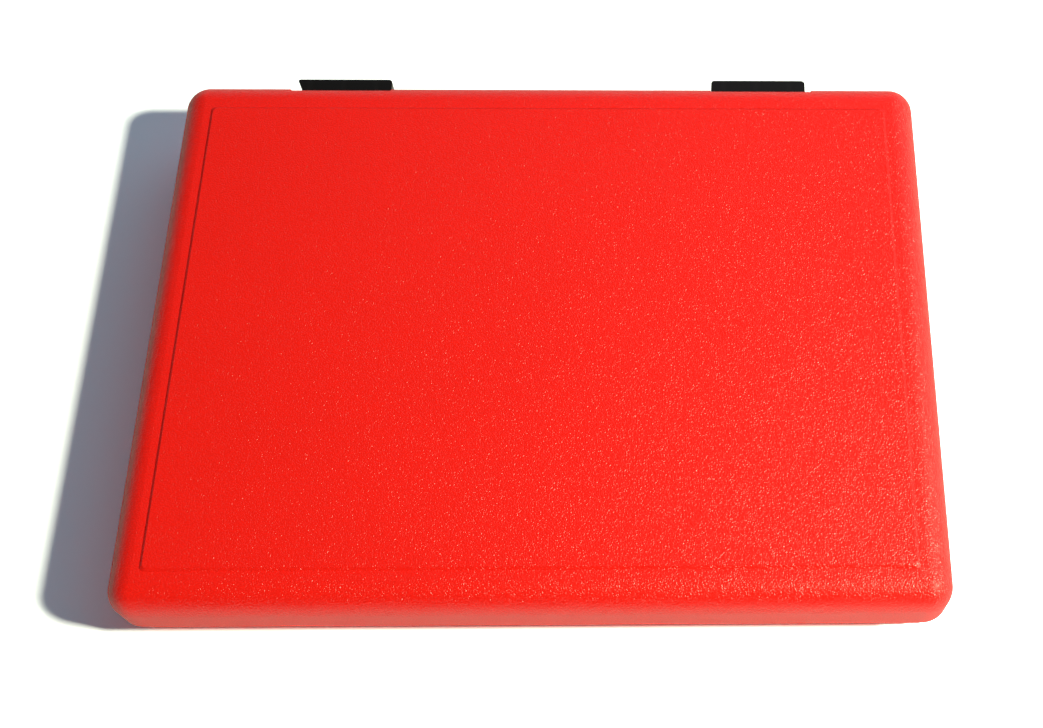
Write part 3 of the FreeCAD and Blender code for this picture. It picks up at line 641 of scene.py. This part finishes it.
def drop_pegs(one, count, low, high, chance):
    """Lets pegs fall into a compartment of the tray, and gives back how each lies once it rests."""
    scene = bpy.context.scene
    bpy.ops.rigidbody.world_add()
    scene.rigidbody_world.substeps_per_frame = 20
    scene.rigidbody_world.solver_iterations = 30
    scene.rigidbody_world.point_cache.frame_end = DROP_FRAMES
    grow = Matrix.Scale(DROP_SCALE, 4)
    large = one.copy()
    large.transform(grow)
    holders = []
    for place, reach in bin_sides(low, high):
        shape = bmesh.new()
        bmesh.ops.create_cube(shape, size=2.0)
        size = Matrix.Diagonal(reach * DROP_SCALE).to_4x4()
        wall = bpy.data.objects.new("bin", finished_mesh("bin", shape, size))
        wall.location = place * DROP_SCALE
        scene.collection.objects.link(wall)
        rigid(wall, "PASSIVE", "BOX")
        holders.append(wall)
    across = int((high.x - low.x) / DROP_CELL.x)
    along = int((high.y - low.y) / DROP_CELL.y)
    pegs = []
    for i in range(count):
        layer, cell = divmod(i, across * along)
        row, column = divmod(cell, across)
        place = low + Vector((
            (column + 0.5) * (high.x - low.x) / across, (row + 0.5) * (high.y - low.y) / along,
            (layer + 0.8) * DROP_CELL.z))
        lie = Matrix.Rotation(chance.uniform(-0.6, 0.6) + math.pi * chance.randint(0, 1), 4, "Z")
        tip = Matrix.Rotation(math.pi / 2 + chance.uniform(-0.5, 0.5), 4, "Y")
        peg = bpy.data.objects.new("peg", large)
        peg.matrix_world = Matrix.Translation(place * DROP_SCALE) @ lie @ tip
        scene.collection.objects.link(peg)
        rigid(peg, "ACTIVE", "CONVEX_HULL")
        pegs.append(peg)
    for now in range(1, DROP_FRAMES + 1):
        scene.frame_set(now)
    graph = bpy.context.evaluated_depsgraph_get()
    lies = []
    for peg in pegs:
        place, turn, _ = peg.evaluated_get(graph).matrix_world.decompose()
        lies.append(Matrix.Translation(place / DROP_SCALE) @ turn.to_matrix().to_4x4())
    bpy.ops.rigidbody.world_remove()
    for holder in holders + pegs:
        bpy.data.objects.remove(holder)
    bpy.data.meshes.remove(large)
    scene.frame_set(1)
    return lies


# Ships in the rack: cells, beam and the middle of the hull, in millimetres; their bows point to the back
FLEET = {"carrier": (5, 15.0, -145.0, -58.0), "battleship": (4, 13.0, -145.0, 42.0),
         "cruiser": (3, 12.0, -121.0, -76.0), "submarine": (3, 10.0, -121.0, -12.0),
         "destroyer": (2, 11.0, -121.0, 42.0)}
RACK_DECK_Z = 9.6
SHIP_CLEAR = 1.0
SHIP_PIN = (1.5, 5.0)
FLIGHT_DECK = (17.0, 76.0, -3.0, 1.2)
# Hull sections, from the foot to the deck: height as a share of the hull's, and how far the outline draws in
FLARED = ((0.0, 2.1), (0.08, 1.6), (0.5, 0.7), (0.93, 0.0), (1.0, 0.3))
ROUNDED = ((0.0, 1.6), (0.15, 0.8), (0.5, 0.0), (0.8, 0.5), (0.95, 1.4), (1.0, 1.9))
# Houses and low fittings: width, length, middle along X and Y, foot and top above the deck
HOUSES = {
    "carrier": [
        (3.2, 15.0, 6.0, 9.0, 1.0, 3.4), (2.6, 7.0, 6.0, 9.0, 3.0, 4.4), (1.0, 2.4, 6.0, 14.4, 3.0, 4.0),
        (0.5, 66.0, -4.2, -3.0, 1.0, 1.4), (0.5, 66.0, 3.4, -3.0, 1.0, 1.4)],
    "battleship": [
        (8.0, 7.0, 0.0, 0.0, -0.5, 1.8), (6.6, 6.0, 0.0, 0.0, 1.5, 2.6), (5.0, 3.2, 0.0, 1.3, 2.3, 3.8),
        (6.0, 1.0, 0.0, 1.6, 3.5, 4.1), (1.6, 2.6, 4.2, -19.0, -0.5, 0.8),
        (1.6, 2.6, -4.2, -19.0, -0.5, 0.8)],
    "cruiser": [
        (7.0, 7.0, 0.0, 9.0, -0.5, 1.9), (5.6, 5.4, 0.0, 9.2, 1.6, 3.2), (4.0, 3.0, 0.0, 9.6, 2.9, 4.2),
        (6.0, 5.4, 0.0, -9.0, -0.5, 0.9)],
    "submarine": [
        (3.6, 8.0, 0.0, 9.0, -0.5, 3.8), (8.4, 1.6, 0.0, 10.2, 2.2, 2.8),
        (0.9, 3.4, 0.0, -23.0, -1.5, 1.6)],
    "destroyer": [
        (6.4, 7.0, 0.0, 0.0, -0.5, 1.7), (5.2, 5.6, 0.0, 0.2, 1.4, 2.6), (4.0, 2.6, 0.0, 1.2, 2.3, 3.8),
        (3.4, 2.0, 0.0, -14.0, -0.5, 0.9)],
}
# Funnels, turrets and masts: foot and top radius, middle along X and Y, foot and top above the deck
ROUNDS = {
    "carrier": [(0.45, 0.3, 6.0, 7.6, 4.2, 5.0), (0.8, 0.6, 6.0, 10.4, 4.2, 4.8)],
    "battleship": [
        (2.8, 2.3, 0.0, 18.0, -0.3, 2.2), (2.8, 2.3, 0.0, -18.0, -0.3, 2.2),
        (1.3, 1.1, 0.0, -1.7, 2.3, 4.6), (0.4, 0.25, 0.0, 1.4, 3.6, 5.0)],
    "cruiser": [
        (2.2, 1.8, 0.0, -9.0, -0.3, 4.0), (1.8, 1.5, 0.0, -22.6, -0.3, 1.4),
        (0.4, 0.25, 0.0, 9.6, 4.0, 4.9)],
    "submarine": [(0.4, 0.35, 0.0, 9.6, 3.5, 4.9), (0.3, 0.3, 0.0, 7.8, 3.5, 4.4)],
    "destroyer": [(1.3, 1.1, 0.0, -1.6, 2.3, 4.2), (0.4, 0.25, 0.0, 1.2, 3.6, 4.6)],
}
# Gun barrels: middle along X, foot along Y, height above the deck, reach along Y
GUNS = {
    "battleship": [(x, sign * 19.6, 1.3, sign * 5.0) for x in (-0.9, 0.9) for sign in (-1, 1)],
    "cruiser": [(x, -23.6, 0.9, -2.2) for x in (-0.6, 0.6)],
}
GUN_RADIUS = 0.45


def hull_ring(length, beam, bow, inset, z):
    """Points round a hull at one height: a round stern, full sides and a bow that points to +Y."""
    half = length / 2 - inset
    side = beam / 2 - inset
    stern = 0.6 * side
    stem = 0.3
    rake = 0.2
    fullness = 1.8
    steps = 8
    turns = [math.pi / 2 * i / steps for i in range(steps + 1)]
    right = [(side * math.sin(t), -half + stern * (1 - math.cos(t))) for t in turns]
    shares = [i / steps for i in range(steps)]
    right += [(stem + (side - stem) * (1 - u ** fullness), half - rake - bow * (1 - u)) for u in shares]
    right += [(stem, half - rake), (0.0, half)]
    left = [(-x, y) for x, y in right[-2:0:-1]]
    return [Vector((x, y, z)) for x, y in right + left]


def holes_cutter(cells, pitch, radius, foot, top):
    """Round cutters for a ship's peg holes."""
    shape = bmesh.new()
    for i in range(cells):
        place = Matrix.Translation((0, pitch * (i - (cells - 1) / 2), 0))
        lathe(shape, [(0, foot), (radius, foot), (radius, top), (0, top)], place, 24)
    return finished_mesh("cutter", shape)


def ship_mesh(name, ships, panels):
    """Ship with its hull, houses, fittings, pins and peg holes, in its place in the rack."""
    cells, beam, x, y = FLEET[name]
    pitch = panels.pitch / MM
    radius = panels.hole_radius / MM
    deck = ships.hull / MM
    floor = ships.hole_floor / MM
    length = cells * pitch - 2 * SHIP_CLEAR
    bow = min(0.3 * length, 1.4 * beam)
    sections = ROUNDED if name == "submarine" else FLARED
    shape = bmesh.new()
    loft(shape, [hull_ring(length, beam, bow, inset, deck * share) for share, inset in sections])
    parts = [cut(finished_mesh("hull", shape), holes_cutter(cells, pitch, radius, floor, 2 * deck))]
    if name == "carrier":
        width, along, middle, thick = FLIGHT_DECK
        shape = bmesh.new()
        block(shape, width, along, 0.0, middle, deck - 0.2, deck + thick, 0.0, 0.25, 0.35, 1)
        parts.append(cut(finished_mesh("deck", shape), holes_cutter(cells, pitch, radius, floor, 2 * deck)))
    shape = bmesh.new()
    for wide, long, hx, hy, foot, top in HOUSES[name]:
        block(shape, wide, long, hx, hy, deck + foot, deck + top, 0.1, 0.15)
    for wide, narrow, rx, ry, foot, top in ROUNDS[name]:
        profile = [(0, foot), (wide, foot), (narrow, top - 0.15), (narrow - 0.1, top), (0, top)]
        lathe(shape, profile, Matrix.Translation((rx, ry, deck)), 16)
    for gx, gy, height, reach in GUNS.get(name, []):
        aim = Matrix.Rotation(math.copysign(math.pi / 2, -reach), 4, "X")
        lie = Matrix.Translation((gx, gy, deck + height)) @ aim
        profile = [(0, -0.8), (GUN_RADIUS, -0.8), (0.8 * GUN_RADIUS, abs(reach)), (0, abs(reach))]
        lathe(shape, profile, lie, 10)
    pin_radius, pin_length = SHIP_PIN
    reach = pitch * (1.0 if cells % 2 else 0.5)
    for sign in (-1, 1):
        profile = [(0, -pin_length), (pin_radius - 0.3, -pin_length), (pin_radius, 0.4 - pin_length),
                   (pin_radius, 0.5 * floor), (0, 0.5 * floor)]
        lathe(shape, profile, Matrix.Translation((0, sign * reach, 0)), 16)
    parts.append(finished_mesh("fittings", shape))
    mesh = joined(name, parts)
    mesh.transform(Matrix.Scale(MM, 4) @ Matrix.Translation((x, y, RACK_DECK_Z)))
    return mesh


# Screws, in millimetres: radius of the shank, radius and height of the head, and the cross recess
SCREW_RADIUS = 1.35
SCREW_HEAD = (2.3, 1.2)
SCREW_CROSS = (1.5, 0.32, 0.6)
PANEL_SCREW_LENGTH = 8.0
LEAF_SCREW_LENGTH = 6.0
# Screws of the hinge blocks: step beside each hinge's middle, and where their heads stand inside
LEAF_SCREW_STEP = 7.5
LID_LEAF_SCREW = (116.3, 30.15)
BASE_LEAF_SCREW = (117.8, 11.15)


def screw_mesh(flush, turn):
    """Screw with a cross recess, its head looking along +Z from the face that it holds."""
    radius, height = SCREW_HEAD
    reach, half, depth = SCREW_CROSS
    length = PANEL_SCREW_LENGTH if flush else LEAF_SCREW_LENGTH
    top = 0.0 if flush else height
    corner = [(reach, -half), (reach, half), (half, half)]
    cross = []
    for _ in range(4):
        cross += corner
        corner = [(-y, x) for x, y in corner]
    outlines = [[(x * MM, y * MM) for x, y in points] for points in (circle(0, 0, radius), cross)]
    crown = plate(outlines, (top - depth) * MM, top * MM, (0.06 if flush else 0.2) * MM)
    shape = bmesh.new()
    under = top - depth + 0.05
    neck = under - 0.7 if flush else 0.0
    profile = [
        (0, -length), (0.4 * SCREW_RADIUS, -length), (SCREW_RADIUS, 1.5 - length), (SCREW_RADIUS, neck),
        (radius - 0.1, under - 0.05 if flush else neck), (radius - 0.1, under), (0, under)]
    lathe(shape, [(r * MM, h * MM) for r, h in profile], Matrix.Identity(4), 24)
    mesh = joined("screw", [crown, finished_mesh("shank", shape)])
    mesh.transform(Matrix.Rotation(turn, 4, "Z"))
    return mesh


def screw_group(name, panel_screws, face_z, facing, leaf_screw, chance):
    """The screws of one half: six in its panel and two in each of its hinge blocks."""
    parts = []
    tip = Matrix.Rotation(0 if facing > 0 else math.pi, 4, "X")
    for x, y in panel_screws:
        mesh = screw_mesh(True, chance.uniform(0, math.pi))
        mesh.transform(Matrix.Translation((x, y, face_z)) @ tip)
        parts.append(mesh)
    low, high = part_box("hinge_pin_right")
    middle = (low.x + high.x) / 2
    for side in (-1, 1):
        for step in (-1, 1):
            mesh = screw_mesh(False, chance.uniform(0, math.pi))
            place = (side * (middle + step * LEAF_SCREW_STEP * MM), leaf_screw[0] * MM, leaf_screw[1] * MM)
            mesh.transform(Matrix.Translation(place) @ Matrix.Rotation(math.pi / 2, 4, "X"))
            parts.append(mesh)
    return joined(name, parts)


class CASE_OT_shells(bpy.types.Operator):
    """Gives the lid and the base their grained red plastic"""

    bl_idname = "game_case.shells"
    bl_label = "Shells"

    def execute(self, context):
        dress(grained_polystyrene(context.scene.case_shells), "lid_shell", "base_shell")
        return {"FINISHED"}


HINGE_BLOCKS = [f"hinge_{half}_leaf_{side}" for half in ("lid", "base") for side in ("left", "right")]
HINGE_PINS = ["hinge_pin_left", "hinge_pin_right"]


class CASE_OT_hinges(bpy.types.Operator):
    """Gives the hinge blocks their satin black plastic, and the pins their drawn steel"""

    bl_idname = "game_case.hinges"
    bl_label = "Hinges"

    def execute(self, context):
        low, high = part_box("hinge_pin_right")
        dress(satin_polypropylene(context.scene.case_hinges, (low.x + high.x) / 2), *HINGE_BLOCKS)
        dress(drawn_steel("drawn_steel_wire", "#B9BBBE", (40, 1, 1), 0.3), *HINGE_PINS)
        soften(context.scene.case_hinges.edge, *HINGE_BLOCKS)
        return {"FINISHED"}


class CASE_OT_panels(bpy.types.Operator):
    """Makes the target panel and the ocean grid, with round peg holes and printed coordinates"""

    bl_idname = "game_case.panels"
    bl_label = "Playing panels"

    def execute(self, context):
        sizes = context.scene.case_panels
        black = board_black(sizes)
        blue = spark_polystyrene("gloss_blue_polystyrene", sizes.blue, 1.2 * MM, 0.24)
        ink = printed_ink(sizes.ink)
        target = playing_panel(
            "target_board", "target_panel", TARGET_CORNER, TARGET_FIELD_Y, -1, TARGET_SCREWS, sizes)
        add_piece("target_board", target, black, "lid", "target_plastic", "target_panel")
        ocean = playing_panel(
            "ocean_board", "ocean_grid", OCEAN_CORNER, OCEAN_FIELD_Y, 1, OCEAN_SCREWS, sizes)
        add_piece("ocean_board", ocean, blue, "base", "ocean_plastic", "ocean_grid")
        margin = sizes.frame_reach + 0.85 * sizes.letter
        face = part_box("ocean_grid")[1].z - sizes.frame_height + INK_LIFT
        print_mesh = coordinates("ocean_coordinates", sizes, OCEAN_FIELD_Y, face, Matrix.Identity(4), margin)
        add_piece("ocean_coordinates", print_mesh, ink, "base", "white_peg")
        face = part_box("target_panel")[0].z + sizes.frame_height - INK_LIFT
        turn = Matrix.Rotation(math.pi, 4, "X")
        print_mesh = coordinates("target_coordinates", sizes, TARGET_FIELD_Y, face, turn, margin)
        add_piece("target_coordinates", print_mesh, ink, "lid", "white_peg")
        return {"FINISHED"}


class CASE_OT_bays(bpy.types.Operator):
    """Gives the ship rack and the peg tray their satin black plastic"""

    bl_idname = "game_case.bays"
    bl_label = "Storage bays"

    def execute(self, context):
        sizes = context.scene.case_panels
        dress(board_black(sizes), "ship_rack", "peg_tray")
        soften(sizes.edge, "ship_rack", "peg_tray")
        return {"FINISHED"}


class CASE_OT_ships(bpy.types.Operator):
    """Makes the five ships, with their houses, guns, masts and round peg holes"""

    bl_idname = "game_case.ships"
    bl_label = "Ships"

    def execute(self, context):
        grey = spark_polystyrene("satin_grey_polystyrene", context.scene.case_ships.grey, 0.5 * MM, 0.4)
        for name in FLEET:
            mesh = ship_mesh(name, context.scene.case_ships, context.scene.case_panels)
            add_piece(name + "_ship", mesh, grey, "base", "ship_plastic", name)
        return {"FINISHED"}


# Insides of the tray's two compartments, in millimetres, a little clear of the walls' round feet
WHITE_BIN = (Vector((109.3, -112.1, 4.6)), Vector((154.1, 32.5, 20.0)))
RED_BIN = (Vector((109.3, 35.5, 4.6)), Vector((154.1, 112.1, 20.0)))


class CASE_OT_pegs(bpy.types.Operator):
    """Drops a full set of white and red pegs into the tray"""

    bl_idname = "game_case.pegs"
    bl_label = "Pegs"

    def execute(self, context):
        sizes = context.scene.case_pegs
        white = polyethylene("white_polyethylene", sizes.white)
        red = polyethylene("red_polyethylene", sizes.red)
        chance = random.Random(7)
        one = peg_mesh(sizes)
        for node, slot, finish, count, (low, high) in (
                ("white_pegs", "white_peg", white, sizes.white_count, WHITE_BIN),
                ("red_pegs", "red_peg", red, sizes.red_count, RED_BIN)):
            parts = []
            for lie in drop_pegs(one, count, low * MM, high * MM, chance):
                parts.append(one.copy())
                parts[-1].transform(lie)
            add_piece("loose_" + node, joined(node, parts), finish, "base", slot, node)
        bpy.data.meshes.remove(one)
        return {"FINISHED"}


class CASE_OT_screws(bpy.types.Operator):
    """Makes the screws with their cross recesses"""

    bl_idname = "game_case.screws"
    bl_label = "Screws"

    def execute(self, context):
        zinc = drawn_steel("zinc_plated_steel", "#C3C6C8", (1, 1, 1), 0.32)
        rib = context.scene.case_panels.frame_height
        chance = random.Random(3)
        target_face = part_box("target_panel")[0].z + rib
        mesh = screw_group("lid_screw_set", TARGET_SCREWS, target_face, -1, LID_LEAF_SCREW, chance)
        add_piece("lid_screw_set", mesh, zinc, "lid", "screw_steel", "lid_screws")
        ocean_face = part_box("ocean_grid")[1].z - rib
        mesh = screw_group("base_screw_set", OCEAN_SCREWS, ocean_face, 1, BASE_LEAF_SCREW, chance)
        add_piece("base_screw_set", mesh, zinc, "base", "screw_steel", "base_screws")
        return {"FINISHED"}


LAMP_WAY = Vector((1250.0, -380.0, 1300.0))
WINDOW_WAY = Vector((0.55, 0.8, 0.2))
FLOOR_SIDE = 40.0
# Where the floor, going outward from the case, turns from lit card to plain white
FLOOR_FADE = (0.4, 0.8)
# Colour of the card as the camera sees it, at which it is white under the lamp
FLOOR_SEEN = (1.6, 1.96, 2.24, 1.0)
# Share of that colour in reflections, at which the lit card is a plain white there
MIRRORED_SHARE = 0.35
FLOOR_GAP = 0.05 * MM


def white_card(looks):
    """Matt white card under the case: it gives back soft light, takes the shadow and is white far out."""
    material = bpy.data.materials.new("matt_white_card")
    tree = empty_tree(material)
    rays = add(tree, "ShaderNodeLightPath").outputs
    mirrored = add(tree, "ShaderNodeMath", {"operation": "MAXIMUM"},
                   {0: rays["Is Glossy Ray"], 1: rays["Is Transmission Ray"]})
    seen = add(tree, "ShaderNodeMath", {"operation": "MAXIMUM"},
               {0: rays["Is Camera Ray"], 1: mirrored.outputs[0]})
    plain = add(tree, "ShaderNodeMath", {"operation": "MULTIPLY"},
                {0: mirrored.outputs[0], 1: MIRRORED_SHARE})
    clear = add(tree, "ShaderNodeMath", {"operation": "MAXIMUM"},
                {0: rays["Is Camera Ray"], 1: plain.outputs[0]})
    tone = add(tree, "ShaderNodeMixRGB", inputs={
        "Fac": clear.outputs[0], "Color1": looks.floor_bounce, "Color2": FLOOR_SEEN})
    matt = add(tree, "ShaderNodeBsdfDiffuse", inputs={"Color": tone.outputs[0]})
    white = add(tree, "ShaderNodeEmission", inputs={"Color": (1, 1, 1, 1), "Strength": 1.0})
    outward = add(tree, "ShaderNodeVectorMath", {"operation": "LENGTH"},
                  {0: add(tree, "ShaderNodeTexCoord").outputs["Object"]})
    far = add(tree, "ShaderNodeMapRange", {"interpolation_type": "SMOOTHSTEP"}, {
        "Value": outward.outputs["Value"], "From Min": FLOOR_FADE[0], "From Max": FLOOR_FADE[1],
        "To Min": 0.0, "To Max": 1.0})
    share = add(tree, "ShaderNodeMath", {"operation": "MULTIPLY"}, {0: far.outputs[0], 1: seen.outputs[0]})
    floor = add(tree, "ShaderNodeMixShader", inputs={
        0: share.outputs[0], 1: matt.outputs[0], 2: white.outputs[0]})
    add(tree, "ShaderNodeOutputMaterial", inputs={"Surface": floor.outputs[0]})
    return material


def room_light(world, looks):
    """Dim room with a cool window at the back and right."""
    tree = empty_tree(world)
    way = add(tree, "ShaderNodeTexCoord").outputs["Generated"]
    facing = add(tree, "ShaderNodeVectorMath", {"operation": "DOT_PRODUCT"},
                 {0: way, 1: WINDOW_WAY.normalized()})
    share = add(tree, "ShaderNodeMapRange", {"interpolation_type": "SMOOTHSTEP"}, {
        "Value": facing.outputs["Value"], "From Min": 0.45, "From Max": 1.0})
    light = add(tree, "ShaderNodeMixRGB", inputs={
        "Fac": share.outputs[0], "Color1": looks.room, "Color2": looks.window})
    sky = add(tree, "ShaderNodeBackground", inputs={"Color": light.outputs[0], "Strength": 1.0})
    add(tree, "ShaderNodeOutputWorld", inputs={"Surface": sky.outputs[0]})


def photograph_camera():
    """Camera at the photograph's place, with the shift that its cropped frame needs."""
    forward = Vector((math.sin(CAMERA_YAW) * math.cos(CAMERA_PITCH),
                      math.cos(CAMERA_YAW) * math.cos(CAMERA_PITCH), -math.sin(CAMERA_PITCH)))
    level = Vector((math.cos(CAMERA_YAW), -math.sin(CAMERA_YAW), 0))
    rise = level.cross(forward)
    right = math.cos(CAMERA_ROLL) * level + math.sin(CAMERA_ROLL) * rise
    upward = math.cos(CAMERA_ROLL) * rise - math.sin(CAMERA_ROLL) * level
    lens = bpy.data.cameras.new("photograph")
    lens.sensor_width = SENSOR_WIDTH
    lens.lens = FOCAL_PIXELS / IMAGE_WIDTH * SENSOR_WIDTH
    lens.shift_x = (IMAGE_WIDTH / 2 - MIDDLE_PIXEL[0]) / IMAGE_WIDTH
    lens.shift_y = (MIDDLE_PIXEL[1] - IMAGE_HEIGHT / 2) / IMAGE_WIDTH
    lens.clip_start = 0.01
    camera = bpy.data.objects.new("photograph", lens)
    turn = Matrix((right, upward, -forward)).transposed().to_4x4()
    camera.matrix_world = Matrix.Translation(CAMERA_PLACE) @ turn
    return camera


class CASE_OT_stage(bpy.types.Operator):
    """Lays the white floor and sets the lamp, the room's light and the camera"""

    bl_idname = "game_case.stage"
    bl_label = "Stage"

    def execute(self, context):
        looks = context.scene.case_stage
        scene = context.scene
        scene.view_settings.view_transform = "Standard"
        half = FLOOR_SIDE / 2
        mesh = bpy.data.meshes.new("floor")
        mesh.from_pydata([(x, y, CAD_BOX[0].z - FLOOR_GAP) for x, y in
                          ((-half, -half), (half, -half), (half, half), (-half, half))], [], [(0, 1, 2, 3)])
        mesh.materials.append(white_card(looks))
        floor = bpy.data.objects.new("floor", mesh)
        scene.collection.objects.link(floor)
        lamp = bpy.data.lights.new("lamp", "AREA")
        lamp.energy = looks.lamp_power
        lamp.size = looks.lamp_size
        lamp.color = looks.lamp_colour[:3]
        holder = bpy.data.objects.new("lamp", lamp)
        way = LAMP_WAY.normalized()
        holder.location = way * looks.lamp_distance
        holder.rotation_euler = way.to_track_quat("Z", "Y").to_euler()
        scene.collection.objects.link(holder)
        scene.world = bpy.data.worlds.new("room")
        room_light(scene.world, looks)
        scene.camera = photograph_camera()
        scene.collection.objects.link(scene.camera)
        return {"FINISHED"}


OPERATORS = (CASE_OT_shells, CASE_OT_hinges, CASE_OT_panels, CASE_OT_bays, CASE_OT_ships, CASE_OT_pegs,
             CASE_OT_screws, CASE_OT_stage)
SETTINGS = {"case_shells": ShellLooks, "case_hinges": HingeLooks, "case_panels": PanelSizes,
            "case_pegs": PegSizes, "case_ships": ShipSizes, "case_stage": StageLooks}


class CASE_PT_sidebar(bpy.types.Panel):
    """Lists the case's settings and the steps that build it"""

    bl_label = "Game case"
    bl_idname = "CASE_PT_sidebar"
    bl_space_type = "VIEW_3D"
    bl_region_type = "UI"
    bl_category = "Game case"

    def draw(self, context):
        for name, group in SETTINGS.items():
            column = self.layout.column()
            for setting in group.__annotations__:
                column.prop(getattr(context.scene, name), setting)
        for operator in OPERATORS:
            self.layout.operator(operator.bl_idname)


def register():
    for group in SETTINGS.values():
        bpy.utils.register_class(group)
    for name, group in SETTINGS.items():
        setattr(bpy.types.Scene, name, PointerProperty(type=group))
    for kind in (*OPERATORS, CASE_PT_sidebar):
        bpy.utils.register_class(kind)


def unregister():
    for kind in (CASE_PT_sidebar, *reversed(OPERATORS)):
        bpy.utils.unregister_class(kind)
    for name, group in SETTINGS.items():
        delattr(bpy.types.Scene, name)
        bpy.utils.unregister_class(group)


def main():
    """Builds the dressed case."""
    register()
    for operator in OPERATORS:
        family, step = operator.bl_idname.split(".")
        getattr(getattr(bpy.ops, family), step)()


if __name__ == "__main__":
    main()
